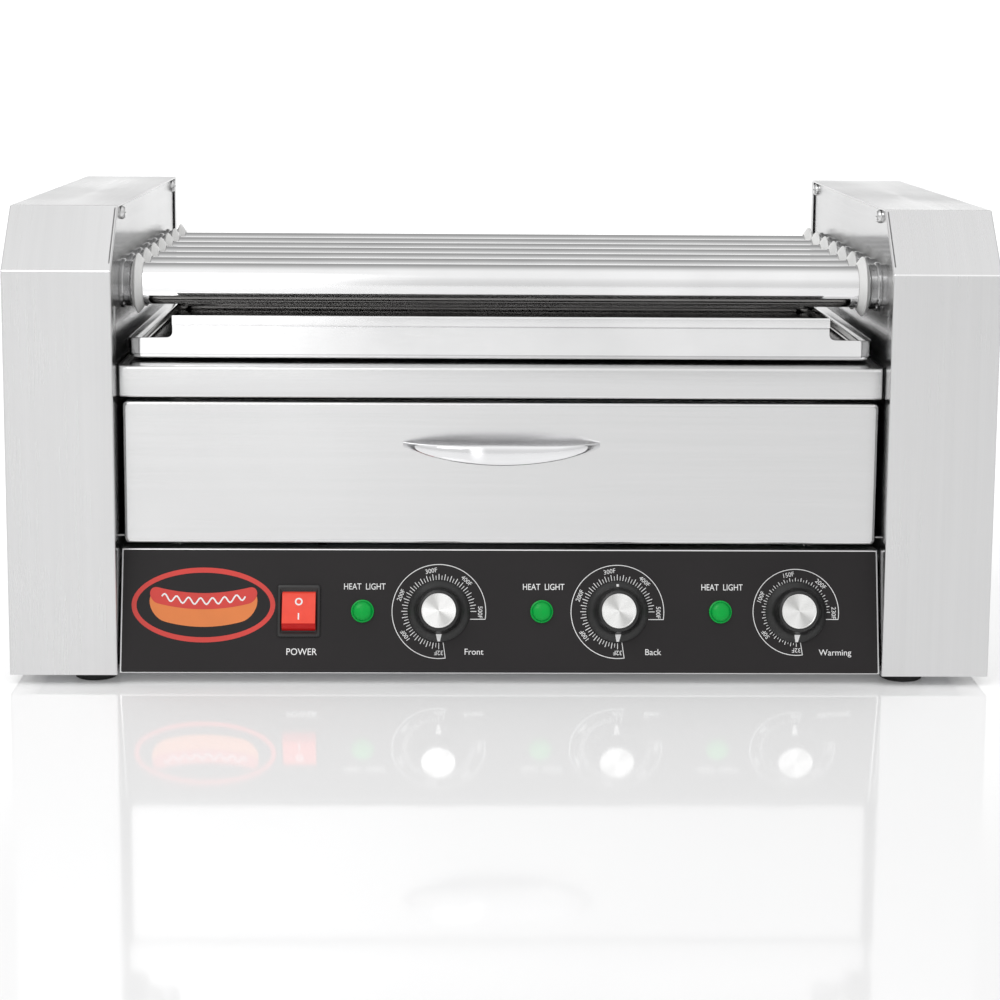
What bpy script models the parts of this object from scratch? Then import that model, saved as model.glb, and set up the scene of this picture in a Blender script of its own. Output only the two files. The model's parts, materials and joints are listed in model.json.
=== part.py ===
"""Countertop hot dog roller grill with a bun drawer.

Units are metres and +Z is up. Every part is laid out in the grill's own frame: X runs
across the machine, Y runs back from the front faces of the two end towers, and Z runs up
from the table. An empty named "grill" carries that frame, and its place puts the centre
of the machine's footprint at the world origin.
"""

import math

import bmesh
import bpy
from mathutils import Matrix, Vector
from mathutils.geometry import tessellate_polygon

# Overall size and the two end towers
WIDTH = 0.580
DEPTH = 0.332
HEIGHT = 0.281
TOWER_WIDTH = 0.0635
CHAMFER_DEPTH = 0.035
CHAMFER_Z = 0.2455
COVER_BOTTOM = 0.006
SHEET = 0.0008
PLATE = 0.001
GAP = 0.0003

TOWER_X = WIDTH / 2 - TOWER_WIDTH
COVER_FRONT_RETURN = 0.016
COVER_BACK_RETURN = 0.010
COVER_BOTTOM_RETURN = 0.0155
WALL_X = TOWER_X + SHEET + GAP
WALL_FRONT = 0.004
WALL_BACK = DEPTH - COVER_BACK_RETURN - 0.0005
WALL_FLANGE = 0.010

# Base, feet and back
FOOT_HEIGHT = 0.007
FOOT_X = 0.242
FOOT_INSET = 0.0215
FOOT_RADIUS = 0.0125
PAN_Z = FOOT_HEIGHT + GAP
REAR_Y = 0.3225
VENT_WIDTH = 0.003
VENT_LENGTH = 0.036
COVER_VENT_Y = 0.215
COVER_VENT_LEVELS = (0.046, 0.058, 0.070, 0.082, 0.094, 0.106)
BASE_VENT_X = (-0.135, -0.045, 0.045, 0.135)
BASE_VENT_Y = (0.10, 0.24)
REAR_VENT_X = (-0.11, -0.05, 0.01)
REAR_VENT_LEVELS = (0.045, 0.055, 0.065, 0.075, 0.085)
GLAND_X = 0.170
GLAND_Z = 0.034
GLAND_HOLE = 0.008

# Centre section, from the sloping panel up to the deck under the rollers
PANEL_FOOT = Vector((0.0, 0.002, 0.0065))
PANEL_HEAD = Vector((0.0, 0.022, 0.0778))
PANEL_HALF = 0.2255
FASCIA_Y = 0.022
DECK_Z = 0.1876
LIP_Z = 0.1685
LIP_ROUND = 0.003

# Bun drawer
DRAWER_HALF = 0.2243
DRAWER_LOW = 0.0810
DRAWER_HIGH = 0.1664
DRAWER_BOX_HALF = 0.222
DRAWER_BOX_LOW = 0.0833
DRAWER_BOX_HIGH = 0.158
DRAWER_BACK = 0.312
HANDLE_HALF = 0.0583
HANDLE_Z = 0.1385
HANDLE_REACH = 0.025
HANDLE_HEIGHT = 0.0122
HANDLE_THICKNESS = 0.0055

# Drip tray
TRAY_HALF = 0.223
TRAY_FRONT = 0.040
TRAY_BACK = 0.300
TRAY_LOW = 0.1892
TRAY_RIM = 0.202
TRAY_LIP_HALF = 0.196
TRAY_LIP_TOP = 0.216
TRAY_FLANGE = 0.008

# Rollers and their drive
ROLLER_COUNT = 7
ROLLER_RADIUS = 0.0125
ROLLER_WALL = 0.0012
ROLLER_Z = 0.2325
ROLLER_FIRST_Y = 0.062
ROLLER_PITCH = 0.0375
ROLLER_LEFT = -0.2345
ROLLER_RIGHT = 0.2435
SEAL_RADIUS = 0.0181
SEAL_FRONT_X = 0.215
SEAL_CREST_X = 0.2184
SEAL_BACK_X = 0.2212
COLLAR_RADIUS = 0.0148
COLLAR_NECK = 0.0138
COLLAR_BORE = 0.0129
CHAIN_PITCH = 0.00635
SPROCKET_TEETH = 16
MOTOR_TEETH = 12
SPROCKET_X = 0.2385
SPROCKET_THICKNESS = 0.0028
MOTOR_Y = 0.1745
MOTOR_Z = 0.150
MOTOR_SHAFT_RADIUS = 0.004
GEARBOX_INNER_X = 0.247
GEARBOX_OUTER_X = 0.270
GEARBOX_HALF = 0.031
GEARBOX_LOW = 0.082
GEARBOX_HIGH = 0.168
GEARBOX_LEG_REACH = 0.025
GEARBOX_LEG_LEVELS = (0.090, 0.120)
GEARBOX_LEG_RADIUS = 0.004
MOTOR_CAN_Z = 0.114
MOTOR_CAN_RADIUS = 0.026
MOTOR_CAN_END_X = 0.287
ELEMENT_RADIUS = 0.004

# Controls, in the sloping panel's own plane: across from its middle, up from its foot
CONTROL_ROW = 0.037
LAMP_ACROSS = (-0.0822, 0.0244, 0.1310)
KNOB_ACROSS = (-0.0368, 0.0696, 0.1762)
SWITCH_ACROSS = -0.120
LAMP_RADIUS = 0.0067
KNOB_SKIRT = 0.0183
KNOB_FACE = 0.0103
KNOB_HEIGHT = 0.016
SHAFT_RADIUS = 0.003
BEZEL_WIDTH = 0.0255
BEZEL_HEIGHT = 0.0309
ROCKER_HALF_WIDTH = 0.00995
ROCKER_REST = math.radians(-11)

# The knobs reach furthest forward, past the towers' front plane
PANEL_SLOPE = (PANEL_HEAD - PANEL_FOOT).normalized()
PANEL_LEAN = math.atan2(PANEL_SLOPE.z, PANEL_SLOPE.y)
KNOB_FRONT = PANEL_FOOT.y + (CONTROL_ROW - KNOB_FACE) * PANEL_SLOPE.y - KNOB_HEIGHT * PANEL_SLOPE.z
FRONT_TO_CENTRE = (DEPTH + KNOB_FRONT) / 2

SIDES = 24
ROLLER_SIDES = 16

# Colour, roughness and metallic value of each finish
FINISHES = {
    "brushed steel": ((0.62, 0.62, 0.62), 0.35, 1.0),
    "polished steel": ((0.72, 0.72, 0.73), 0.12, 1.0),
    "zinc plate": ((0.50, 0.51, 0.52), 0.45, 1.0),
    "chain steel": ((0.30, 0.30, 0.31), 0.40, 1.0),
    "heater sheath": ((0.16, 0.14, 0.12), 0.55, 1.0),
    "fluoropolymer": ((0.80, 0.80, 0.79), 0.50, 0.0),
    "black panel": ((0.028, 0.027, 0.027), 0.45, 0.0),
    "black plastic": ((0.015, 0.015, 0.015), 0.35, 0.0),
    "rubber": ((0.012, 0.012, 0.012), 0.75, 0.0),
    "green lens": ((0.0, 0.38, 0.08), 0.20, 0.0),
    "red lens": ((0.75, 0.05, 0.03), 0.25, 0.0),
    "motor casing": ((0.24, 0.25, 0.26), 0.45, 0.7),
}

# Outlines are flat; these turn their plane so that the extrusion or the turning axis
# runs along the named axis. The outline's two coordinates are then Y and Z for "X",
# Z and X for "Y", and X and Y for "Z".
ALONG = {
    "X": Matrix(((0, 0, 1, 0), (1, 0, 0, 0), (0, 1, 0, 0), (0, 0, 0, 1))),
    "Y": Matrix(((0, 1, 0, 0), (0, 0, 1, 0), (1, 0, 0, 0), (0, 0, 0, 1))),
    "Z": Matrix.Identity(4),
}


# ---------------------------------------------------------------- mesh helpers

def add_box(bm, low, high):
    """Adds a closed box between two corners."""
    low = Vector(low)
    high = Vector(high)
    place = Matrix.Translation((low + high) / 2) @ Matrix.Diagonal((*(high - low), 1))
    bmesh.ops.create_cube(bm, size=1, matrix=place)


def add_plate(bm, loops, start, end, axis="X"):
    """Extrudes flat loops, the outline first and then its holes, from start to end."""
    turn = ALONG[axis]
    ends = []
    for height in (start, end):
        rings = [[bm.verts.new(turn @ Vector((a, b, height))) for a, b in loop] for loop in loops]
        ends.append(rings)
    for low_ring, high_ring in zip(*ends):
        count = len(low_ring)
        for i in range(count):
            j = (i + 1) % count
            bm.faces.new((low_ring[i], low_ring[j], high_ring[j], high_ring[i]))
    flat = [[Vector((a, b, 0)) for a, b in loop] for loop in loops]
    for rings in ends:
        points = [vert for ring in rings for vert in ring]
        for triangle in tessellate_polygon(flat):
            bm.faces.new([points[i] for i in triangle])


def add_turned(bm, profile, axis="Z", centre=(0, 0, 0), sides=SIDES):
    """Turns a profile of (distance along the axis, radius) points about an axis.

    A profile whose first and last radii are 0 closes on the axis; any other is a ring.
    """
    place = Matrix.Translation(centre) @ ALONG[axis]
    rings = []
    for along, radius in profile:
        if radius == 0:
            rings.append([bm.verts.new(place @ Vector((0, 0, along)))])
            continue
        ring = []
        for i in range(sides):
            angle = 2 * math.pi * i / sides
            point = Vector((radius * math.cos(angle), radius * math.sin(angle), along))
            ring.append(bm.verts.new(place @ point))
        rings.append(ring)
    pairs = list(zip(rings, rings[1:]))
    if len(rings[0]) > 1:
        pairs.append((rings[-1], rings[0]))
    for first, second in pairs:
        for i in range(sides):
            j = (i + 1) % sides
            corners = [first[i % len(first)], first[j % len(first)]]
            corners += [second[j % len(second)], second[i % len(second)]]
            bm.faces.new(list(dict.fromkeys(corners)))


def add_sweep(bm, stations):
    """Joins rings of points, all of one length, and closes both ends."""
    rings = [[bm.verts.new(point) for point in station] for station in stations]
    count = len(rings[0])
    for first, second in zip(rings, rings[1:]):
        for i in range(count):
            j = (i + 1) % count
            bm.faces.new((first[i], first[j], second[j], second[i]))
    bm.faces.new(rings[0])
    bm.faces.new(rings[-1])


def circle(centre, radius, sides=SIDES):
    """Points round a circle in an outline's plane."""
    turns = [2 * math.pi * i / sides for i in range(sides)]
    return [(centre[0] + radius * math.cos(t), centre[1] + radius * math.sin(t)) for t in turns]


def rectangle(low, high):
    """The four corners of a rectangle in an outline's plane."""
    return [low, (high[0], low[1]), high, (low[0], high[1])]


def tube_round(points, radius, sides=8):
    """Rings round a path that lies in a level plane, mitred at its corners."""
    stations = []
    for i, point in enumerate(points):
        before = points[max(i - 1, 0)]
        after = points[min(i + 1, len(points) - 1)]
        forward = (after - before).normalized()
        across = forward.cross(Vector((0, 0, 1)))
        ring = []
        for k in range(sides):
            angle = 2 * math.pi * k / sides
            offset = across * math.cos(angle) + Vector((0, 0, math.sin(angle)))
            ring.append(point + radius * offset)
        stations.append(ring)
    return stations


# -------------------------------------------------------------- object helpers

def remove_everything():
    for obj in list(bpy.data.objects):
        bpy.data.objects.remove(obj, do_unlink=True)


def make_empty(name, location=(0, 0, 0), parent=None):
    empty = bpy.data.objects.new(name, None)
    bpy.context.collection.objects.link(empty)
    empty.location = location
    empty.parent = parent
    return empty


def make_material(name, finish):
    colour, roughness, metallic = FINISHES[finish]
    material = bpy.data.materials.new(name)
    material.use_nodes = True
    shader = material.node_tree.nodes["Principled BSDF"]
    shader.inputs["Base Color"].default_value = (*colour, 1)
    shader.inputs["Roughness"].default_value = roughness
    shader.inputs["Metallic"].default_value = metallic
    return material


def make_object(name, bm, finish, parent, location=(0, 0, 0), lean=0.0):
    """Turns a bmesh into an object; lean tips it about X, as the sloping panel is tipped."""
    bmesh.ops.recalc_face_normals(bm, faces=bm.faces)
    mesh = bpy.data.meshes.new(name)
    bm.to_mesh(mesh)
    bm.free()
    mesh.shade_smooth()
    mesh.set_sharp_from_angle(angle=math.radians(35))
    obj = bpy.data.objects.new(name, mesh)
    bpy.context.collection.objects.link(obj)
    obj.parent = parent
    obj.location = location
    obj.rotation_euler = (lean, 0, 0)
    if finish:
        mesh.materials.append(make_material(name, finish))
    return obj


def combine(obj, operation, bm, location=None, lean=None):
    """Cuts a bmesh out of an object, or joins it on; its place is the object's own by default."""
    name = f"{obj.name}_{operation.lower()}_{len(obj.modifiers)}"
    location = obj.location if location is None else location
    lean = obj.rotation_euler.x if lean is None else lean
    tool = make_object(name, bm, None, obj.parent, location, lean)
    tool.hide_render = True
    tool.display_type = "WIRE"
    modifier = obj.modifiers.new(name, "BOOLEAN")
    modifier.operation = operation
    modifier.solver = "EXACT"
    modifier.object = tool


def panel_place(across, up=CONTROL_ROW, out=0.0):
    """A point on the sloping panel, in the grill's frame."""
    outward = Vector((0, -PANEL_SLOPE.z, PANEL_SLOPE.y))
    return PANEL_FOOT + Vector((across, 0, 0)) + PANEL_SLOPE * up + outward * out


def roller_y(index):
    """How far back the axis of a roller lies; index counts from 0 at the front."""
    return ROLLER_FIRST_Y + ROLLER_PITCH * index


# --------------------------------------------------------------- sheet metalwork

def tower_outline(front, back, bottom, top):
    """A tower's side view, with its front and chamfer both moved in by the distance front."""
    fall = HEIGHT - CHAMFER_Z
    length = math.hypot(CHAMFER_DEPTH, fall)
    chamfer_start = CHAMFER_Z - front * (length - fall) / CHAMFER_DEPTH
    chamfer_end = (front * length + CHAMFER_DEPTH * (top - CHAMFER_Z)) / fall
    return [(front, bottom), (front, chamfer_start), (chamfer_end, top),
            (DEPTH - back, top), (DEPTH - back, bottom)]


def add_across(bm, loops, side, inner, outer):
    """Extrudes loops between two distances from the middle, on one side of the machine."""
    ends = sorted((side * inner, side * outer))
    add_plate(bm, loops, ends[0], ends[1])


def add_side_box(bm, side, across, low, high):
    """A box on one side of the machine; across is its span of distances from the middle."""
    ends = sorted(side * value for value in across)
    add_box(bm, (ends[0], *low), (ends[1], *high))


def make_cover(name, side, parent):
    """One tower's outer casing: front, chamfer, top, back and outer side, with returns."""
    outer_x = WIDTH / 2
    bm = bmesh.new()
    add_across(bm, [tower_outline(0, 0, COVER_BOTTOM, HEIGHT)], side, TOWER_X, outer_x)
    cover = make_object(name, bm, "brushed steel", parent)

    bm = bmesh.new()
    under = HEIGHT - SHEET
    inside = tower_outline(SHEET, SHEET, COVER_BOTTOM + SHEET, under)
    add_across(bm, [inside], side, TOWER_X + SHEET, outer_x - SHEET)
    combine(cover, "DIFFERENCE", bm)

    bm = bmesh.new()
    spans = (TOWER_X + SHEET, outer_x - COVER_BOTTOM_RETURN)
    add_side_box(bm, side, spans, (SHEET, COVER_BOTTOM / 2), (DEPTH - SHEET, COVER_BOTTOM * 2))
    combine(cover, "DIFFERENCE", bm)

    bm = bmesh.new()
    mouth = tower_outline(COVER_FRONT_RETURN, COVER_BACK_RETURN, COVER_BOTTOM / 2, under)
    add_across(bm, [mouth], side, TOWER_X - PLATE, TOWER_X + 2 * SHEET)
    combine(cover, "DIFFERENCE", bm)

    bm = bmesh.new()
    spans = (outer_x - 2 * SHEET, outer_x + SHEET)
    for low_z in COVER_VENT_LEVELS:
        high = (COVER_VENT_Y + 2 * VENT_LENGTH, low_z + VENT_WIDTH)
        add_side_box(bm, side, spans, (COVER_VENT_Y, low_z), high)
    combine(cover, "DIFFERENCE", bm)


def make_inner_wall(name, side, parent):
    """The wall that carries one end of every roller, with its bearing collars and ledge."""
    inner = WALL_X
    outer = WALL_X + PLATE
    low = PAN_Z + PLATE + GAP
    high = HEIGHT - SHEET - GAP
    bm = bmesh.new()
    add_across(bm, [tower_outline(WALL_FRONT, DEPTH - WALL_BACK, low, high)], side, inner, outer)
    wall = make_object(name, bm, "brushed steel", parent)

    bm = bmesh.new()
    span = (inner + 0.7 * PLATE, inner + WALL_FLANGE)
    for edge in (WALL_FRONT + GAP, WALL_BACK - PLATE - GAP):
        add_side_box(bm, side, span, (edge, low + GAP), (edge + PLATE, high - 0.040))
    ledge_span = (DRAWER_BOX_HALF - 0.003, inner + 0.3 * PLATE)
    ledge_top = DRAWER_BOX_LOW - GAP
    add_side_box(bm, side, ledge_span, (0.038, ledge_top - PLATE), (0.315, ledge_top))
    combine(wall, "UNION", bm)

    neck_end = SEAL_BACK_X + 2 * GAP
    flange_end = inner - 0.0016
    collar = [(inner + PLATE / 2, 0), (inner + PLATE / 2, COLLAR_RADIUS), (flange_end, COLLAR_RADIUS),
              (flange_end, COLLAR_NECK), (neck_end, COLLAR_NECK), (neck_end, 0)]
    bore = [(neck_end - PLATE, 0), (neck_end - PLATE, COLLAR_BORE), (outer + PLATE, COLLAR_BORE),
            (outer + PLATE, 0)]
    for profile, operation in ((collar, "UNION"), (bore, "DIFFERENCE")):
        bm = bmesh.new()
        for i in range(ROLLER_COUNT):
            turned = [(side * along, radius) for along, radius in profile]
            add_turned(bm, turned, "X", (0, roller_y(i), ROLLER_Z), ROLLER_SIDES)
        combine(wall, operation, bm)


def make_base_pan(parent):
    """The floor of the machine, which carries the feet and both towers."""
    half = WIDTH / 2 - SHEET - 2 * GAP
    front = SHEET + GAP
    back = DEPTH - SHEET - GAP
    centre_front = COVER_FRONT_RETURN + GAP
    return_back = DEPTH - COVER_BACK_RETURN - GAP
    centre_back = REAR_Y + PLATE + GAP
    tower = WALL_X
    centre = TOWER_X - GAP
    right = [(tower, centre_front), (tower, front), (half, front), (half, back), (tower, back),
             (tower, return_back), (centre, return_back), (centre, centre_back)]
    outline = right + [(-x, y) for x, y in right[::-1]]
    slots = []
    for y in BASE_VENT_Y:
        for x in BASE_VENT_X:
            low = (x - VENT_LENGTH / 2, y)
            slots.append(rectangle(low, (low[0] + VENT_LENGTH, y + VENT_WIDTH)))
    bm = bmesh.new()
    add_plate(bm, [outline, *slots], PAN_Z, PAN_Z + PLATE, "Z")
    make_object("base_pan", bm, "zinc plate", parent)


def make_rear_panel(parent):
    """The back of the centre section, with its vents and the hole for the cable gland."""
    half = TOWER_X - GAP
    outline = rectangle((PAN_Z + PLATE + GAP, -half), (DECK_Z - PLATE - GAP, half))
    holes = [circle((GLAND_Z, GLAND_X), GLAND_HOLE)]
    for z in REAR_VENT_LEVELS:
        for x in REAR_VENT_X:
            holes.append(rectangle((z, x), (z + VENT_WIDTH, x + VENT_LENGTH)))
    bm = bmesh.new()
    add_plate(bm, [outline, *holes], REAR_Y, REAR_Y + PLATE, "Y")
    make_object("rear_panel", bm, "brushed steel", parent)


def make_cable_gland(parent):
    """A flanged gland: collar outside, screwed neck through the panel and nut inside."""
    inside = REAR_Y - GAP
    outside = REAR_Y + PLATE + GAP
    profile = [(outside + 0.008, 0.0045), (outside + 0.008, 0.0075), (outside + 0.004, 0.011),
               (outside, 0.011), (outside, 0.0077), (inside, 0.0077), (inside, 0.0105),
               (inside - 0.005, 0.0105), (inside - 0.005, 0.0045)]
    bm = bmesh.new()
    add_turned(bm, profile, "Y", (GLAND_X, 0, GLAND_Z), sides=16)
    make_object("cable_gland", bm, "black plastic", parent)


def make_cabinet_top(parent):
    """The deck under the drip tray: a sheet folded down at the front into a lip."""
    steps = 4
    turns = [math.pi / 2 * i / steps for i in range(steps + 1)]
    centre = (FASCIA_Y + LIP_ROUND, DECK_Z - LIP_ROUND)

    def fold(radius):
        return [(centre[0] - radius * math.cos(t), centre[1] + radius * math.sin(t)) for t in turns]

    outer = [(FASCIA_Y + 0.010, LIP_Z), (FASCIA_Y, LIP_Z), *fold(LIP_ROUND), (REAR_Y + PLATE, DECK_Z)]
    inner = [(FASCIA_Y + 0.010, LIP_Z + PLATE), (FASCIA_Y + PLATE, LIP_Z + PLATE),
             *fold(LIP_ROUND - PLATE), (REAR_Y + PLATE, DECK_Z - PLATE)]
    bm = bmesh.new()
    add_plate(bm, [outer + inner[::-1]], -PANEL_HALF, PANEL_HALF)
    top = make_object("cabinet_top", bm, "brushed steel", parent)

    sheet_top = DECK_Z - PLATE / 4
    bridge = ((PANEL_HALF - PLATE, WALL_X - GAP), (0.030, DECK_Z - 0.8 * PLATE),
              (REAR_Y - PLATE, sheet_top))
    flange = ((TOWER_X + GAP, WALL_X - GAP), (0.030, LIP_Z), (REAR_Y - PLATE, DECK_Z - PLATE / 2))
    runner = ((0.150, 0.154), (0.050, DECK_Z - PLATE / 2), (0.296, TRAY_LOW - GAP))
    for span, low, high in (bridge, flange, runner):
        bm = bmesh.new()
        for side in (-1, 1):
            add_side_box(bm, side, span, low, high)
        combine(top, "UNION", bm)


def make_control_panel(parent):
    """The sloping front panel, with folded edges and holes for the controls."""
    thick = 0.0012
    inward = Vector((0, PANEL_SLOPE.z, -PANEL_SLOPE.y)) * thick
    foot = (PANEL_FOOT.y, PANEL_FOOT.z)
    head = (PANEL_HEAD.y, PANEL_HEAD.z)
    rise = thick / PANEL_SLOPE.z
    inner_foot = (foot[0] + rise + thick * PANEL_SLOPE.y, foot[1] + thick)
    inner_head = (head[0] + inward.y + inward.z * PANEL_SLOPE.y, head[1] - thick)
    outline = [foot, head, (head[0] + 0.012, head[1]), (head[0] + 0.012, head[1] - thick),
               inner_head, inner_foot, (foot[0] + 0.0125, foot[1] + thick),
               (foot[0] + 0.0125, foot[1])]
    bm = bmesh.new()
    add_plate(bm, [outline], -PANEL_HALF, PANEL_HALF)
    panel = make_object("control_panel", bm, "black panel", parent)

    for across in LAMP_ACROSS + KNOB_ACROSS:
        bm = bmesh.new()
        add_turned(bm, [(-0.006, 0), (-0.006, 0.005), (0.006, 0.005), (0.006, 0)], sides=16)
        combine(panel, "DIFFERENCE", bm, panel_place(across), PANEL_LEAN)
    bm = bmesh.new()
    add_box(bm, (-0.0117, -0.0140, -0.006), (0.0117, 0.0140, 0.006))
    combine(panel, "DIFFERENCE", bm, panel_place(SWITCH_ACROSS), PANEL_LEAN)


def make_foot(name, x, y, parent):
    """A rubber foot with a recess for its screw."""
    bm = bmesh.new()
    profile = [(FOOT_HEIGHT, 0), (FOOT_HEIGHT, FOOT_RADIUS + 0.001), (0.001, FOOT_RADIUS + 0.0005),
               (0, FOOT_RADIUS - 0.0005), (0, 0.005), (0.004, 0.005), (0.004, 0)]
    add_turned(bm, profile)
    make_object(name, bm, "rubber", parent, (x, y, 0))


# -------------------------------------------------------- drawer, tray and handle

def make_drawer(parent):
    """The bun drawer: a folded front with an open box welded behind it."""
    front = FASCIA_Y
    bm = bmesh.new()
    add_box(bm, (-DRAWER_HALF, front, DRAWER_LOW), (DRAWER_HALF, front + 0.012, DRAWER_HIGH))
    drawer = make_object("bun_drawer", bm, "brushed steel", parent)

    bm = bmesh.new()
    half = DRAWER_HALF - PLATE
    add_box(bm, (-half, front + PLATE, DRAWER_LOW + PLATE), (half, front + 0.013, DRAWER_HIGH - PLATE))
    combine(drawer, "DIFFERENCE", bm)

    bm = bmesh.new()
    low = (-DRAWER_BOX_HALF, front + PLATE / 2, DRAWER_BOX_LOW)
    add_box(bm, low, (DRAWER_BOX_HALF, DRAWER_BACK, DRAWER_BOX_HIGH))
    combine(drawer, "UNION", bm)

    bm = bmesh.new()
    half = DRAWER_BOX_HALF - PLATE
    low = (-half, front + 2 * PLATE, DRAWER_BOX_LOW + PLATE)
    add_box(bm, low, (half, DRAWER_BACK - PLATE, DRAWER_BOX_HIGH + PLATE))
    combine(drawer, "DIFFERENCE", bm)


def make_handle(parent):
    """A bow handle that thins to a point where each end meets the drawer front."""
    stations = []
    count = 16
    root_y = FASCIA_Y - GAP
    for i in range(count + 1):
        t = -1 + 2 * i / count
        bulge = 1 - t * t
        height = max(HANDLE_HEIGHT * math.sqrt(bulge), 0.002)
        thickness = max(HANDLE_THICKNESS * bulge ** 0.3, 0.001)
        back = root_y - (HANDLE_REACH - GAP - HANDLE_THICKNESS) * bulge
        middle = Vector((HANDLE_HALF * t, min(back, root_y) - thickness / 2, HANDLE_Z))
        ring = []
        for k in range(8):
            angle = 2 * math.pi * (k + 0.5) / 8
            scale = 1 / math.cos(math.pi / 8)
            offset_y = math.cos(angle) * thickness / 2 * scale
            offset_z = math.sin(angle) * height / 2 * scale
            ring.append(middle + Vector((0, offset_y, offset_z)))
        stations.append(ring)
    bm = bmesh.new()
    add_sweep(bm, stations)
    make_object("drawer_handle", bm, "polished steel", parent)


def make_drip_tray(parent):
    """A shallow pan with turned-in rims and a raised, hemmed lip at the front."""
    bm = bmesh.new()
    add_box(bm, (-TRAY_HALF, TRAY_FRONT, TRAY_LOW), (TRAY_HALF, TRAY_BACK, TRAY_RIM))
    tray = make_object("drip_tray", bm, "polished steel", parent)

    bm = bmesh.new()
    half = TRAY_HALF - PLATE
    low = (-half, TRAY_FRONT + PLATE, TRAY_LOW + PLATE)
    add_box(bm, low, (half, TRAY_BACK - PLATE, TRAY_RIM + PLATE))
    combine(tray, "DIFFERENCE", bm)

    bm = bmesh.new()
    rim_low = TRAY_RIM - PLATE
    for side in (-1, 1):
        span = (TRAY_HALF - TRAY_FLANGE, TRAY_HALF - PLATE / 2)
        low = (TRAY_FRONT + PLATE / 2, rim_low)
        add_side_box(bm, side, span, low, (TRAY_BACK - PLATE / 2, TRAY_RIM - PLATE / 5))
    combine(tray, "UNION", bm)

    bm = bmesh.new()
    lip_low = TRAY_RIM - 2 * PLATE
    hem_low = TRAY_LIP_TOP - 0.0066
    hem_front = TRAY_FRONT - 0.002
    outline = [(TRAY_FRONT + PLATE / 4, lip_low), (TRAY_FRONT + PLATE / 4, hem_low),
               (hem_front, hem_low), (hem_front, TRAY_LIP_TOP),
               (TRAY_FRONT + PLATE, TRAY_LIP_TOP), (TRAY_FRONT + PLATE * 3 / 4, lip_low)]
    add_plate(bm, [outline], -TRAY_LIP_HALF, TRAY_LIP_HALF)
    combine(tray, "UNION", bm)


# ------------------------------------------------------------ rollers and drive

def make_tube(name, parent):
    """A roller: a plain steel tube, open at both ends for its heater."""
    bm = bmesh.new()
    inner = ROLLER_RADIUS - ROLLER_WALL
    profile = [(ROLLER_LEFT, inner), (ROLLER_LEFT, ROLLER_RADIUS),
               (ROLLER_RIGHT, ROLLER_RADIUS), (ROLLER_RIGHT, inner)]
    add_turned(bm, profile, "X", sides=ROLLER_SIDES)
    make_object(name, bm, "polished steel", parent)


def make_seal(name, side, parent):
    """A grease seal: a conical collar that turns with the roller."""
    bore = ROLLER_RADIUS + GAP
    profile = [(SEAL_FRONT_X, bore), (SEAL_FRONT_X, bore + 0.001), (SEAL_CREST_X, SEAL_RADIUS),
               (SEAL_BACK_X, SEAL_RADIUS), (SEAL_BACK_X, bore)]
    bm = bmesh.new()
    turned = [(side * along, radius) for along, radius in profile]
    add_turned(bm, turned, "X", sides=ROLLER_SIDES)
    make_object(name, bm, "fluoropolymer", parent)


def sprocket_outline(teeth):
    """Trapezoid teeth for the drive chain, the first one pointing along the outline's X."""
    pitch_radius = CHAIN_PITCH / 2 / math.sin(math.pi / teeth)
    root = pitch_radius - 0.0017
    tip = pitch_radius + 0.0013
    points = []
    for tooth in range(teeth):
        for radius, share in ((root, -0.30), (tip, -0.12), (tip, 0.12), (root, 0.30)):
            angle = 2 * math.pi * (tooth + share) / teeth
            points.append((radius * math.cos(angle), radius * math.sin(angle)))
    return points


def make_sprocket(name, teeth, bore, parent):
    bm = bmesh.new()
    loops = [sprocket_outline(teeth), circle((0, 0), bore, ROLLER_SIDES)]
    add_plate(bm, loops, SPROCKET_X, SPROCKET_X + SPROCKET_THICKNESS)
    make_object(name, bm, "chain steel", parent)


def make_drive_chain(parent):
    """A plain loop that stands in for the chain, just clear of every sprocket's tips."""
    reach = CHAIN_PITCH / 2 / math.sin(math.pi / SPROCKET_TEETH) + 0.0013 + 2 * GAP
    small_reach = CHAIN_PITCH / 2 / math.sin(math.pi / MOTOR_TEETH) + 0.0013 + 2 * GAP
    wheels = [((roller_y(0), ROLLER_Z), reach), ((roller_y(ROLLER_COUNT - 1), ROLLER_Z), reach),
              ((MOTOR_Y, MOTOR_Z), small_reach)]

    def loop(extra):
        """Walks round the three wheels clockwise in the Y-Z plane, touching each from outside."""
        points = []
        for i, (centre, radius) in enumerate(wheels):
            angles = []
            for other, sign in ((wheels[i - 1], -1), (wheels[(i + 1) % 3], 1)):
                dy = other[0][0] - centre[0]
                dz = other[0][1] - centre[1]
                bearing = math.atan2(dz, dy)
                swing = math.acos((radius - other[1]) / math.hypot(dy, dz))
                angles.append(bearing + sign * swing)
            start, end = angles
            while end > start:
                end -= 2 * math.pi
            steps = 10
            corner = (radius + extra) / math.cos((start - end) / steps / 2)
            points.append((centre[0] + (radius + extra) * math.cos(start),
                           centre[1] + (radius + extra) * math.sin(start)))
            for k in range(steps):
                angle = start + (end - start) * (k + 0.5) / steps
                points.append((centre[0] + corner * math.cos(angle),
                               centre[1] + corner * math.sin(angle)))
            points.append((centre[0] + (radius + extra) * math.cos(end),
                           centre[1] + (radius + extra) * math.sin(end)))
        return points

    bm = bmesh.new()
    middle = SPROCKET_X + SPROCKET_THICKNESS / 2
    add_plate(bm, [loop(0.0016), loop(0)], middle - 0.0018, middle + 0.0018)
    make_object("drive_chain", bm, "chain steel", parent)


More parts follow.
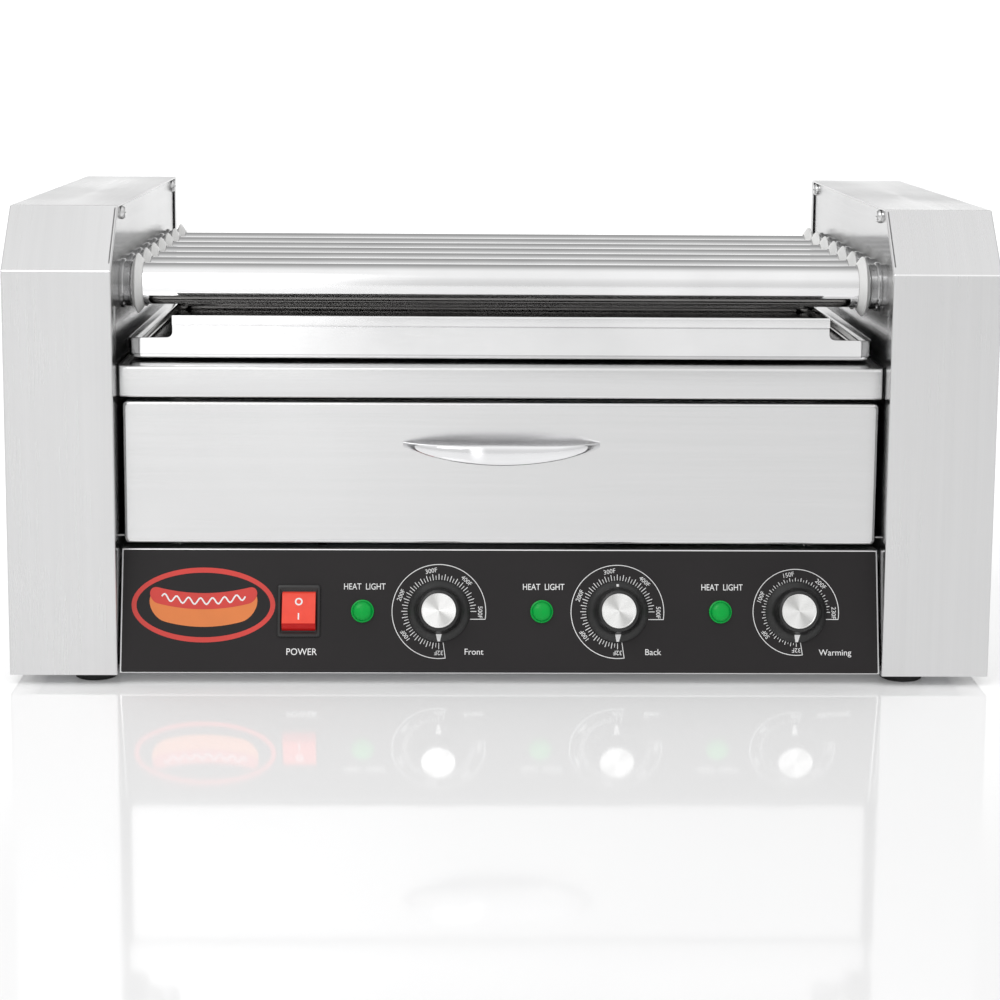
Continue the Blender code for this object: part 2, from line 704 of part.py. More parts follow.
def make_gear_motor(parent):
    """The gearbox and motor in the right tower, on four legs from the inner wall."""

    def rod(start, end, radius):
        return [(start, 0), (start, radius), (end, radius), (end, 0)]

    bm = bmesh.new()
    low = (GEARBOX_INNER_X, MOTOR_Y - GEARBOX_HALF, GEARBOX_LOW)
    add_box(bm, low, (GEARBOX_OUTER_X, MOTOR_Y + GEARBOX_HALF, GEARBOX_HIGH))
    motor = make_object("gear_motor", bm, "motor casing", parent)

    bm = bmesh.new()
    can = rod(GEARBOX_OUTER_X - PLATE, MOTOR_CAN_END_X, MOTOR_CAN_RADIUS)
    add_turned(bm, can, "X", (0, MOTOR_Y, MOTOR_CAN_Z))
    inside_box = GEARBOX_INNER_X + PLATE
    shaft = rod(SPROCKET_X - 2 * PLATE, inside_box, MOTOR_SHAFT_RADIUS)
    add_turned(bm, shaft, "X", (0, MOTOR_Y, MOTOR_Z), sides=12)
    leg = rod(WALL_X + PLATE + GAP, inside_box, GEARBOX_LEG_RADIUS)
    for y in (MOTOR_Y - GEARBOX_LEG_REACH, MOTOR_Y + GEARBOX_LEG_REACH):
        for z in GEARBOX_LEG_LEVELS:
            add_turned(bm, leg, "X", (0, y, z), sides=8)
    combine(motor, "UNION", bm)


def make_element_rack(parent):
    """Seven tubular heaters, one through each roller, held by a rail at each end."""
    rail_low = (roller_y(0) - 0.028, ROLLER_Z - 0.0065)
    rail_high = (roller_y(ROLLER_COUNT - 1) + 0.028, ROLLER_Z + 0.0065)
    left_rail = 0.2555
    right_rail = 0.2490
    bm = bmesh.new()
    add_box(bm, (-left_rail - PLATE, *rail_low), (-left_rail, *rail_high))
    rack = make_object("element_rack", bm, "heater sheath", parent)

    bm = bmesh.new()
    for i in range(ROLLER_COUNT):
        rod = [(-0.262, 0), (-0.262, ELEMENT_RADIUS), (0.256, ELEMENT_RADIUS), (0.256, 0)]
        add_turned(bm, rod, "X", (0, roller_y(i), ROLLER_Z), sides=10)
    combine(rack, "UNION", bm)

    bm = bmesh.new()
    add_box(bm, (right_rail, *rail_low), (right_rail + PLATE, *rail_high))
    combine(rack, "UNION", bm)

    bm = bmesh.new()
    wall_outer = WALL_X + PLATE + GAP
    low_z = ROLLER_Z - 0.004
    high_z = ROLLER_Z + 0.004
    for y in (rail_low[0] + 0.001, rail_high[0] - 0.004):
        add_box(bm, (-left_rail - PLATE / 2, y, low_z), (-wall_outer, y + 0.003, high_z))
        add_box(bm, (wall_outer, y, low_z), (right_rail + PLATE / 2, y + 0.003, high_z))
    combine(rack, "UNION", bm)


def make_warmer_element(parent):
    """The flat heater under the drawer, a looped rod on four legs from the base pan."""
    level = 0.066
    radius = 0.0035
    runs = (0.070, 0.135, 0.200, 0.265)
    reach = 0.175
    points = []
    for i, y in enumerate(runs):
        ends = (-reach, reach) if i % 2 == 0 else (reach, -reach)
        points += [Vector((x, y, level)) for x in ends]
    rounded = []
    corner = 0.012
    for i, point in enumerate(points):
        if i in (0, len(points) - 1):
            rounded.append(point)
            continue
        towards_last = (points[i - 1] - point).normalized() * corner
        towards_next = (points[i + 1] - point).normalized() * corner
        for k in range(4):
            t = k / 3
            rounded.append(point + towards_last * (1 - t) ** 2 + towards_next * t * t)
    bm = bmesh.new()
    add_sweep(bm, tube_round(rounded, radius))
    element = make_object("warmer_element", bm, "heater sheath", parent)

    bm = bmesh.new()
    foot = PAN_Z + PLATE + GAP
    leg = [(foot, 0), (foot, 0.003), (level, 0.003), (level, 0)]
    for x in (-0.120, 0.120):
        for y in (runs[0], runs[-1]):
            add_turned(bm, leg, "Z", (x, y, 0), sides=8)
    combine(element, "UNION", bm)


# --------------------------------------------------------------------- controls

def make_lamp(name, across, parent):
    """A round indicator lamp: domed lens in front of the panel and body behind it."""
    profile = [(-0.018, 0), (-0.018, 0.0045), (GAP, 0.0045), (GAP, LAMP_RADIUS),
               (0.0015, LAMP_RADIUS), (0.0032, LAMP_RADIUS * 0.7), (0.0040, 0)]
    bm = bmesh.new()
    add_turned(bm, profile, sides=16)
    make_object(name, bm, "green lens", parent, panel_place(across), PANEL_LEAN)


def make_thermostat(name, across, parent):
    """A thermostat behind the panel, with its shaft through to the knob."""
    back_face = -0.0018
    bm = bmesh.new()
    add_box(bm, (-0.018, -0.015, -0.027), (0.018, 0.015, back_face))
    body = make_object(name, bm, "zinc plate", parent, panel_place(across), PANEL_LEAN)
    bm = bmesh.new()
    profile = [(back_face - 0.001, 0), (back_face - 0.001, SHAFT_RADIUS), (0.011, SHAFT_RADIUS), (0.011, 0)]
    add_turned(bm, profile, sides=12)
    combine(body, "UNION", bm)


def make_knob(name, across, parent):
    """A skirted knob on a shaft; its face is flat and its pointer starts straight down."""
    bore = SHAFT_RADIUS + GAP
    profile = [(0.012, 0), (0.012, bore), (2 * GAP, bore), (2 * GAP, KNOB_SKIRT), (0.0022, KNOB_SKIRT),
               (0.0036, 0.0158), (0.0070, 0.0134), (0.0140, 0.0124), (0.0155, 0.0114),
               (KNOB_HEIGHT, KNOB_FACE), (KNOB_HEIGHT, 0)]
    bm = bmesh.new()
    add_turned(bm, profile)
    make_object(name, bm, "black plastic", parent, panel_place(across), PANEL_LEAN)


def make_switch(parent):
    """The power switch: a bezel and body with a pocket, and the rocker pivoted in it."""
    place = panel_place(SWITCH_ACROSS)
    bezel = (BEZEL_WIDTH / 2, BEZEL_HEIGHT / 2)
    bm = bmesh.new()
    add_box(bm, (-bezel[0], -bezel[1], GAP), (bezel[0], bezel[1], 0.002))
    housing = make_object("switch_housing", bm, "black plastic", parent, place, PANEL_LEAN)
    bm = bmesh.new()
    add_box(bm, (-0.0114, -0.0137, -0.022), (0.0114, 0.0137, 0.001))
    combine(housing, "UNION", bm)
    bm = bmesh.new()
    add_box(bm, (-0.01025, -0.0123, -0.0075), (0.01025, 0.0123, 0.004))
    combine(housing, "DIFFERENCE", bm)

    top = 0.0036
    flat = 0.0074
    curve = 0.0042
    outline = [(-0.0095, -0.0045), (-flat - curve, top - curve)]
    for k in (1, 2, 3):
        angle = math.pi / 2 * k / 3
        outline.append((-flat - curve * math.cos(angle), top - curve + curve * math.sin(angle)))
    outline += [(-a, b) for a, b in outline[::-1]]
    bm = bmesh.new()
    add_plate(bm, [outline], -ROCKER_HALF_WIDTH, ROCKER_HALF_WIDTH)
    bmesh.ops.rotate(bm, matrix=Matrix.Rotation(ROCKER_REST, 3, "X"), verts=bm.verts)
    make_object("power_rocker", bm, "red lens", parent, place, PANEL_LEAN)


# --------------------------------------------------------------------- assembly

def build_structure(grill):
    make_base_pan(grill)
    make_rear_panel(grill)
    make_cable_gland(grill)
    make_cabinet_top(grill)
    make_control_panel(grill)
    for side, word in ((-1, "left"), (1, "right")):
        make_cover(f"{word}_cover", side, grill)
        make_inner_wall(f"{word}_inner_wall", side, grill)
        make_foot(f"foot_{word}_front", side * FOOT_X, FOOT_INSET, grill)
        make_foot(f"foot_{word}_back", side * FOOT_X, DEPTH - FOOT_INSET, grill)


def build_rollers(grill):
    for i in range(ROLLER_COUNT):
        number = i + 1
        axis = make_empty(f"roller_{number}_axis", (0, roller_y(i), ROLLER_Z), grill)
        make_tube(f"roller_tube_{number}", axis)
        make_seal(f"seal_left_{number}", -1, axis)
        make_seal(f"seal_right_{number}", 1, axis)
        make_sprocket(f"roller_sprocket_{number}", SPROCKET_TEETH, ROLLER_RADIUS + GAP, axis)
    motor_axis = make_empty("motor_axis", (0, MOTOR_Y, MOTOR_Z), grill)
    make_sprocket("motor_sprocket", MOTOR_TEETH, MOTOR_SHAFT_RADIUS + GAP, motor_axis)
    make_gear_motor(grill)
    make_drive_chain(grill)


def build_controls(grill):
    for number, across in enumerate(LAMP_ACROSS, 1):
        make_lamp(f"heat_lamp_{number}", across, grill)
    for place, across in zip(("front", "back", "warmer"), KNOB_ACROSS):
        make_thermostat(f"{place}_thermostat", across, grill)
        make_knob(f"{place}_knob", across, grill)
    make_switch(grill)


def main():
    remove_everything()
    grill = make_empty("grill", (0, -FRONT_TO_CENTRE, 0))
    build_structure(grill)
    build_rollers(grill)
    make_element_rack(grill)
    make_warmer_element(grill)
    make_drawer(grill)
    make_handle(grill)
    make_drip_tray(grill)
    build_controls(grill)


main()
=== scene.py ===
"""Looks of the countertop hot dog roller grill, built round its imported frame.

Metres, +Z up. Every piece has its vertices in the frame's own coordinates and its object
at the origin, so a place here is a place on the machine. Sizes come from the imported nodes.
"""

import json
import math

import bmesh
import bpy
from mathutils import Matrix, Vector
from mathutils.geometry import tessellate_polygon


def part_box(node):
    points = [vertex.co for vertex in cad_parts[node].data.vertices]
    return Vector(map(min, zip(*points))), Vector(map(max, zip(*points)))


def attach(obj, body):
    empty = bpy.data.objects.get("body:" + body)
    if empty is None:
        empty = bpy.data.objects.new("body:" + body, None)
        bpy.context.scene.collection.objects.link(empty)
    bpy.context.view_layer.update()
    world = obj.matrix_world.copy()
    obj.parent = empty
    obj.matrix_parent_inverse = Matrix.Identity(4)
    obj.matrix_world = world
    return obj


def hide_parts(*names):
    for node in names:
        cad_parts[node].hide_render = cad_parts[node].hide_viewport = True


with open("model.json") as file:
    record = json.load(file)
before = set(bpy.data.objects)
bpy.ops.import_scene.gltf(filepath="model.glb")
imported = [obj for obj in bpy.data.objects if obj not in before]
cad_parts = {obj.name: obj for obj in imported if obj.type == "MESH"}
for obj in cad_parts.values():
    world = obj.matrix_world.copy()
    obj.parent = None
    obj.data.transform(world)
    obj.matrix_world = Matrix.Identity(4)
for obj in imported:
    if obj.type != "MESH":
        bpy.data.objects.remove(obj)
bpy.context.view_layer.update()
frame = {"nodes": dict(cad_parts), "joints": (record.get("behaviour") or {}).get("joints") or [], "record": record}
FRAME_BODY = "grill_frame"

# ------------------------------------------------------------- places on the frame

COVER_LOW, COVER_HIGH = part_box("right_cover")
FRONT = COVER_LOW.y
BACK = COVER_HIGH.y
TOP = COVER_HIGH.z
BOTTOM = COVER_LOW.z
HALF_WIDTH = COVER_HIGH.x
TOWER_X = COVER_LOW.x
WALL_LOW, WALL_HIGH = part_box("right_inner_wall")
LIP_LOW, LIP_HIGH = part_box("cabinet_top")
DRAWER_LOW, DRAWER_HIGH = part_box("bun_drawer")
TRAY_LOW, TRAY_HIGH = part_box("drip_tray")
PANEL_LOW, PANEL_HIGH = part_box("control_panel")
SEAL_LOW, SEAL_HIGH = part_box("seal_right_1")
HANDLE_LOW, HANDLE_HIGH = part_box("drawer_handle")

SHEET = 0.0008
PLATE = 0.001
CHAMFER_DEPTH = 0.035
CHAMFER_Z = 0.2455
FOLD = 0.0013
WALL_X = TOWER_X + 0.0011
ROLLERS = [joint for joint in frame["joints"] if joint["name"].startswith("roller_")]
ROLLER_RADIUS = 0.0125
ROLLER_AXES = [Vector(joint["pos_m"]) for joint in ROLLERS]

# The sloping panel's plane: its foot, the direction up it and the direction out of it
PANEL_FOOT = Vector((0, PANEL_LOW.y, PANEL_LOW.z))
PANEL_TOP_EDGE = Vector((0, FRONT + 0.022, PANEL_HIGH.z))
UP_PANEL = (PANEL_TOP_EDGE - PANEL_FOOT).normalized()
OUT_OF_PANEL = Vector((0, -UP_PANEL.z, UP_PANEL.y))
PANEL_LENGTH = (PANEL_TOP_EDGE - PANEL_FOOT).length
PANEL_LEAN = math.atan2(UP_PANEL.z, UP_PANEL.y)
CONTROL_ROW = 0.037


def joint_named(name):
    return next(joint for joint in frame["joints"] if joint["name"] == name)


KNOBS = ("front", "back", "warmer")
KNOB_ACROSS = [joint_named(f"{name}_knob_turn")["pos_m"][0] for name in KNOBS]
SWITCH_ACROSS = joint_named("rocker_tip")["pos_m"][0]
LAMP_ACROSS = [sum(c.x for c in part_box(f"heat_lamp_{i}")) / 2 for i in (1, 2, 3)]


def panel_matrix(across, up=CONTROL_ROW, out=0.0):
    """A frame on the panel: X across, Y up the slope and Z straight out of it."""
    origin = PANEL_FOOT + Vector((across, 0, 0)) + UP_PANEL * up + OUT_OF_PANEL * out
    return Matrix.Translation(origin) @ Matrix.Rotation(PANEL_LEAN, 4, "X")


# ----------------------------------------------------------------------- materials

STEEL_COLOUR = (0.70, 0.70, 0.702)


def math_node(tree, operation, *values):
    """A Math node's output for sockets or numbers."""
    node = tree.nodes.new("ShaderNodeMath")
    node.operation = operation
    for socket, value in zip(node.inputs, values):
        if isinstance(value, bpy.types.NodeSocket):
            tree.links.new(value, socket)
        else:
            socket.default_value = value
    return node.outputs[0]


class Paint:
    """A Principled material with object-space textures feeding it."""

    def __init__(self, name, colour, rough, metal=0.0, **values):
        self.material = bpy.data.materials.new(name)
        self.material.use_nodes = True
        self.tree = self.material.node_tree
        self.shader = self.tree.nodes["Principled BSDF"]
        self.shader.inputs["Base Color"].default_value = (*colour, 1)
        self.shader.inputs["Roughness"].default_value = rough
        self.shader.inputs["Metallic"].default_value = metal
        for key, value in values.items():
            self.shader.inputs[key.replace("_", " ")].default_value = value
        self.colour = colour
        self.coordinates = self.tree.nodes.new("ShaderNodeTexCoord").outputs["Object"]
        self.height = None

    def node(self, kind, **inputs):
        node = self.tree.nodes.new(kind)
        for key, value in inputs.items():
            socket = node.inputs[key.replace("_", " ")]
            if isinstance(value, bpy.types.NodeSocket):
                self.tree.links.new(value, socket)
            else:
                socket.default_value = value
        return node

    def noise(self, stretch, detail=2.0, roughness=0.5):
        """Noise whose cells per metre along X, Y and Z are given by stretch."""
        place = self.node("ShaderNodeMapping", Vector=self.coordinates, Scale=stretch)
        texture = self.node("ShaderNodeTexNoise", Vector=place.outputs[0], Scale=1.0,
                            Detail=detail, Roughness=roughness)
        return texture.outputs["Fac"]

    def maths(self, operation, *values):
        return math_node(self.tree, operation, *values)

    def spread(self, value, low, high, start=0.3, end=0.7):
        """Maps a texture value onto a range of numbers."""
        node = self.node("ShaderNodeMapRange", Value=value, From_Min=start, From_Max=end,
                         To_Min=low, To_Max=high)
        return node.outputs[0]

    def tint(self, factor, darkest, lightest, to="Base Color"):
        """Colours the surface between two colours by a 0 to 1 value."""
        mix = self.tree.nodes.new("ShaderNodeMix")
        mix.data_type = "RGBA"
        self.tree.links.new(factor, mix.inputs["Factor"])
        mix.inputs[6].default_value = (*darkest, 1)
        mix.inputs[7].default_value = (*lightest, 1)
        self.tree.links.new(mix.outputs[2], self.shader.inputs[to])
        return mix

    def link(self, value, socket):
        self.tree.links.new(value, self.shader.inputs[socket])

    def bump(self, value, strength, distance):
        """Adds a bump on top of any bump already there."""
        node = self.node("ShaderNodeBump", Height=value, Strength=strength, Distance=distance)
        if self.height is not None:
            self.tree.links.new(self.height, node.inputs["Normal"])
        self.height = node.outputs[0]
        self.tree.links.new(self.height, self.shader.inputs["Normal"])


def scaled(colour, factor):
    return tuple(channel * factor for channel in colour)


def brushed(name, grain, colour=STEEL_COLOUR, rough=0.30, contrast=0.012):
    """Stainless sheet brushed along the axes where the grain is long, with faint smears."""
    fine_cells = [14.0 if long_axis else 1500.0 for long_axis in grain]
    streak_cells = [3.0 if long_axis else 260.0 for long_axis in grain]
    paint = Paint(name, colour, rough, 1.0, Anisotropic=0.35)
    fine = paint.noise(fine_cells, detail=3.0, roughness=0.65)
    wide = paint.noise(streak_cells, detail=2.0)
    smear = paint.noise((9.0, 9.0, 9.0), detail=3.0)
    both = paint.maths("ADD", fine, wide)
    paint.tint(paint.spread(both, 0, 1, 0.7, 1.3), scaled(colour, 1 - 2 * contrast),
               scaled(colour, 1 + contrast))
    gloss = paint.maths("ADD", paint.spread(fine, -0.03, 0.03),
                        paint.spread(smear, rough - 0.03, rough + 0.04))
    paint.link(gloss, "Roughness")
    paint.bump(fine, 0.015, 0.0001)
    paint.bump(paint.noise((14.0, 14.0, 14.0), detail=0.0), 0.02, 0.0006)
    return paint.material


def polished(name, colour=(0.78, 0.78, 0.785), rough=0.07, grain=(25.0, 900.0, 900.0)):
    """Mirror-polished stainless with hairline buffing marks."""
    paint = Paint(name, colour, rough, 1.0)
    lines = paint.noise(grain, detail=3.0, roughness=0.7)
    haze = paint.noise((22.0, 22.0, 22.0), detail=3.0)
    paint.tint(paint.spread(haze, 0, 1), scaled(colour, 0.95), scaled(colour, 1.03))
    paint.link(paint.spread(lines, rough * 0.7, rough * 1.6), "Roughness")
    paint.bump(lines, 0.02, 0.0001)
    return paint.material


def spun_aluminium(name):
    """A turned face: fine rings about its axis, with the bright and dark spokes that they throw painted into its
    colour as highlight and shade.
    """
    paint = Paint(name, (0.88, 0.88, 0.87), 0.22, 1.0, Anisotropic=0.7)
    tangent = paint.tree.nodes.new("ShaderNodeTangent")
    tangent.direction_type = "RADIAL"
    tangent.axis = "Z"
    paint.link(tangent.outputs[0], "Tangent")
    split = paint.node("ShaderNodeSeparateXYZ", Vector=paint.coordinates)
    radius = paint.node("ShaderNodeVectorMath", Vector=paint.coordinates)
    radius.operation = "LENGTH"
    wave = paint.maths("SINE", paint.maths("MULTIPLY", radius.outputs["Value"], 14000.0))
    angle = paint.maths("ARCTAN2", split.outputs["Y"], split.outputs["X"])
    # Painted highlight and shade: the colour runs from dark to bright round the axis, in two and four lobes.
    painted_light_spokes = 0.0
    for turns, phase, share in ((2.0, -1.1, 0.55), (4.0, 0.6, 0.45)):
        ripple = paint.maths("COSINE", paint.maths("MULTIPLY_ADD", angle, turns, phase))
        painted_light_spokes = paint.maths("MULTIPLY_ADD", ripple, share, painted_light_spokes)
    paint.tint(paint.spread(painted_light_spokes, 0, 1, -0.9, 0.9), (0.60, 0.60, 0.59), (0.98, 0.98, 0.97))
    paint.link(paint.spread(wave, 0.20, 0.30, -1, 1), "Roughness")
    paint.bump(wave, 0.10, 0.00005)
    return paint.material


def moulded(name, colour, rough, coarse=900.0, strength=0.12, **values):
    """Moulded plastic, rubber or a film: fine pebbling and slight unevenness of gloss."""
    paint = Paint(name, colour, rough, **values)
    pebble = paint.noise((coarse,) * 3, detail=2.0)
    cloud = paint.noise((18.0,) * 3, detail=3.0)
    paint.tint(paint.spread(cloud, 0, 1), scaled(colour, 0.88), scaled(colour, 1.10))
    paint.link(paint.spread(cloud, rough * 0.88, rough * 1.12), "Roughness")
    paint.bump(pebble, strength, 0.0001)
    return paint.material


def lens(name, colour, edge, glow):
    """Coloured translucent plastic, a little deeper where it is thick."""
    paint = Paint(name, colour, 0.22, Specular_IOR_Level=0.20, Emission_Strength=glow)
    paint.shader.inputs["Emission Color"].default_value = (*colour, 1)
    facing = paint.node("ShaderNodeLayerWeight", Blend=0.35)
    cloud = paint.noise((160.0,) * 3, detail=1.0)
    depth = paint.maths("MULTIPLY_ADD", facing.outputs["Facing"], 0.9, paint.spread(cloud, 0.0, 0.12))
    paint.tint(depth, colour, edge)
    return paint.material


def heater_sheath(name):
    """Heater rod steel, blued and browned by heat in bands."""
    paint = Paint(name, (0.20, 0.17, 0.15), 0.45, 1.0)
    bands = paint.noise((30.0, 30.0, 30.0), detail=4.0)
    paint.tint(paint.spread(bands, 0, 1), (0.12, 0.10, 0.11), (0.34, 0.27, 0.21))
    paint.link(paint.spread(paint.noise((700.0,) * 3), 0.35, 0.60), "Roughness")
    paint.bump(paint.noise((1200.0,) * 3), 0.10, 0.0001)
    return paint.material


STEEL_X = brushed("brushed_steel_across", (True, False, False))
STEEL_Y = brushed("brushed_steel_back", (False, True, False))
STEEL_Z = brushed("brushed_steel_up", (False, False, True))
STEEL_WRAP = brushed("brushed_steel_wrap", (False, True, True))
STEEL_FRONT = brushed("brushed_steel_front", (True, False, False), rough=0.20)
# Painted highlight: a much lighter copy of the steel for the narrow faces of the cover's folds.
STEEL_FOLD_HIGHLIGHT = brushed("fold_highlight_steel", (True, False, False), (0.95, 0.95, 0.952), 0.12)
# Painted shade: a darker copy of the same stainless for the inner walls, their collars and the covers' inner
# returns, which stand in shade.
STEEL_WALL_SHADE = brushed("brushed_steel_wall_shade", (False, True, False), (0.44, 0.44, 0.442), 0.17, 0.02)
# Painted shade: near-black steel for the flanges and runners that sit in shadow beside and under the deck.
STEEL_SHADOW = brushed("flange_shadow_steel", (False, True, False), (0.13, 0.13, 0.132), 0.34, 0.03)
ZINC = brushed("zinc_plate", (True, False, False), (0.52, 0.53, 0.55), 0.42, 0.03)
DRIVE = brushed("oiled_steel", (False, True, False), (0.26, 0.26, 0.27), 0.35, 0.05)
ROLLER = polished("roller_polish", (0.84, 0.84, 0.843), 0.06)
BRIGHT = polished("tray_polish", (0.80, 0.80, 0.803), 0.09, (60.0, 300.0, 300.0))
# Painted shade: a dark copy of the tray's polish for its inside, which lies in shade under the rollers.
TRAY_INSIDE_SHADE = polished("tray_inside_shade", (0.22, 0.215, 0.21), 0.12, (60.0, 300.0, 300.0))
CHROME = polished("handle_chrome", (0.82, 0.82, 0.83), 0.05)
SCREW = polished("screw_steel", (0.66, 0.66, 0.66), 0.14)
PTFE = moulded("seal_ptfe", (0.80, 0.80, 0.79), 0.42, 500.0, 0.06)
FILM = moulded("panel_film", (0.0125, 0.0105, 0.0113), 0.36, 700.0, 0.03, Specular_IOR_Level=0.28)
BLACK = moulded("black_plastic", (0.014, 0.014, 0.014), 0.34, 1100.0, 0.10)
RUBBER = moulded("foot_rubber", (0.012, 0.012, 0.012), 0.72, 800.0, 0.25)
INK = moulded("white_ink", (0.82, 0.82, 0.82), 0.55, 1500.0, 0.04)
GREEN = lens("green_lens", (0.0, 0.33, 0.045), (0.0, 0.11, 0.02), 0.14)
RED = lens("red_lens", (0.80, 0.075, 0.045), (0.48, 0.0, 0.005), 0.06)
# Painted shade: a darker, dimmer copy of the red lens for the rocker's sloping lower end.
RED_SHADED_END = lens("red_lens_shaded_end", (0.58, 0.010, 0.008), (0.30, 0.0, 0.003), 0.02)
SHEATH = heater_sheath("heater_sheath")
CASTING = moulded("motor_casting", (0.20, 0.21, 0.22), 0.45, 500.0, 0.2, metal=0.6)
EMBLEM_BUN = moulded("emblem_bun", (0.74, 0.21, 0.05), 0.5, 1500.0, 0.04)
EMBLEM_RED = moulded("emblem_red", (0.62, 0.045, 0.035), 0.5, 1500.0, 0.04)
SPUN = spun_aluminium("spun_aluminium")


# ------------------------------------------------------------------------ geometry

ALONG = {
    "X": Matrix(((0, 0, 1, 0), (1, 0, 0, 0), (0, 1, 0, 0), (0, 0, 0, 1))),
    "Y": Matrix(((0, 1, 0, 0), (0, 0, 1, 0), (1, 0, 0, 0), (0, 0, 0, 1))),
    "Z": Matrix.Identity(4),
}


def join_rings(bm, rings):
    """Joins successive closed rings of vertices with faces."""
    for first, second in zip(rings, rings[1:]):
        for i in range(len(first)):
            j = (i + 1) % len(first)
            bm.faces.new((first[i], first[j], second[j], second[i]))


def add_plate(bm, loops, place, start, end):
    """Extrudes an outline with holes from start to end along the place's Z."""
    ends = []
    for height in (start, end):
        rings = [[bm.verts.new(place @ Vector((a, b, height))) for a, b in loop] for loop in loops]
        ends.append(rings)
    for low_ring, high_ring in zip(*ends):
        join_rings(bm, (low_ring, high_ring))
    flat = [[Vector((a, b, 0)) for a, b in loop] for loop in loops]
    for rings in ends:
        points = [vert for ring in rings for vert in ring]
        for triangle in tessellate_polygon(flat):
            bm.faces.new([points[i] for i in triangle])


def add_turned(bm, profile, place, sides=48):
    """Turns a profile of (distance along, radius) points about the place's Z axis."""
    rings = []
    for along, radius in profile:
        if radius == 0:
            rings.append([bm.verts.new(place @ Vector((0, 0, along)))])
            continue
        points = circle((0, 0), radius, sides)
        rings.append([bm.verts.new(place @ Vector((x, y, along))) for x, y in points])
    pairs = list(zip(rings, rings[1:]))
    if len(rings[0]) > 1:
        pairs.append((rings[-1], rings[0]))
    for first, second in pairs:
        for i in range(sides):
            j = (i + 1) % sides
            corners = [first[i % len(first)], first[j % len(first)]]
            corners += [second[j % len(second)], second[i % len(second)]]
            bm.faces.new(list(dict.fromkeys(corners)))


def add_box(bm, low, high, place=Matrix.Identity(4)):
    low = Vector(low)
    high = Vector(high)
    size = Matrix.Diagonal((*(high - low), 1))
    bmesh.ops.create_cube(bm, size=1, matrix=place @ Matrix.Translation((low + high) / 2) @ size)


def circle(centre, radius, sides=48):
    turns = [2 * math.pi * i / sides for i in range(sides)]
    return [(centre[0] + radius * math.cos(t), centre[1] + radius * math.sin(t)) for t in turns]


def rectangle(low, high, corner=0.0, steps=5):
    """A rectangle in an outline's plane, with its corners rounded if asked."""
    if corner == 0:
        return [low, (high[0], low[1]), high, (low[0], high[1])]
    points = []
    centres = ((high[0] - corner, high[1] - corner, 0), (low[0] + corner, high[1] - corner, 1),
               (low[0] + corner, low[1] + corner, 2), (high[0] - corner, low[1] + corner, 3))
    for x, y, quarter in centres:
        for k in range(steps + 1):
            t = math.pi / 2 * (quarter + k / steps)
            points.append((x + corner * math.cos(t), y + corner * math.sin(t)))
    return points


def fillet(points, radius, steps=5):
    """Rounds the inner corners of an open flat path."""
    rounded = [Vector(points[0])]
    for before, here, after in zip(points, points[1:], points[2:]):
        here = Vector(here)
        back = (Vector(before) - here).normalized()
        ahead = (Vector(after) - here).normalized()
        half = back.angle(ahead) / 2
        reach = radius / math.tan(half)
        centre = here + (back + ahead).normalized() * radius / math.sin(half)
        start = here + back * reach - centre
        end = here + ahead * reach - centre
        turn = start.angle_signed(end)
        for k in range(steps + 1):
            angle = -turn * k / steps
            spoke = Vector((start.x * math.cos(angle) - start.y * math.sin(angle),
                            start.x * math.sin(angle) + start.y * math.cos(angle)))
            rounded.append(centre + spoke)
    rounded.append(Vector(points[-1]))
    return rounded


def normals(path):
    """The left-hand normal at each point of an open flat path, lengthened at mitres."""
    result = []
    for i in range(len(path)):
        forward = []
        if i > 0:
            forward.append((path[i] - path[i - 1]).normalized())
        if i < len(path) - 1:
            forward.append((path[i + 1] - path[i]).normalized())
        mean = sum(forward, Vector((0, 0))).normalized()
        normal = Vector((-mean.y, mean.x))
        side = Vector((-forward[0].y, forward[0].x))
        result.append(normal / max(normal.dot(side), 0.5))
    return result


def thicken(path, thickness):
    """A closed outline: the path and the same path moved to its left by the thickness."""
    moved = [point + normal * thickness for point, normal in zip(path, normals(path))]
    return [tuple(point) for point in path] + [tuple(point) for point in reversed(moved)]


def add_pan(bm, low, high, corner, loops):
    """Stacks rounded rectangles into an open pan; loops are (height, inset) from the bottom up."""
    rings = []
    for height, inset in loops:
        radius = max(corner - inset, 0.0006)
        outline = rectangle((low[0] + inset, low[1] + inset), (high[0] - inset, high[1] - inset), radius)
        rings.append([bm.verts.new((x, y, height)) for x, y in outline])
    join_rings(bm, rings)
    bm.faces.new(rings[0][::-1])


def new_piece(name, bm, materials, body=FRAME_BODY, stands_for=(), crisp=30):
    """Makes a bmesh into a piece that rides on a body and may stand for CAD nodes."""
    if name in stands_for:
        name = f"{name}_skin"
    bmesh.ops.recalc_face_normals(bm, faces=bm.faces)
    mesh = bpy.data.meshes.new(name)
    bm.to_mesh(mesh)
    bm.free()
    mesh.shade_smooth()
    mesh.set_sharp_from_angle(angle=math.radians(crisp))
    if not isinstance(materials, (list, tuple)):
        materials = [materials]
    for material in materials:
        mesh.materials.append(material)
    piece = bpy.data.objects.new(name, mesh)
    bpy.context.scene.collection.objects.link(piece)
    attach(piece, body)
    if stands_for:
        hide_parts(*stands_for)
    return piece


def soften(piece, width, segments=2, angle=35):
    """Rounds a piece's hard edges."""
    modifier = piece.modifiers.new("soft_edges", "BEVEL")
    modifier.width = width
    modifier.segments = segments
    modifier.limit_method = "ANGLE"
    modifier.angle_limit = math.radians(angle)
    return piece


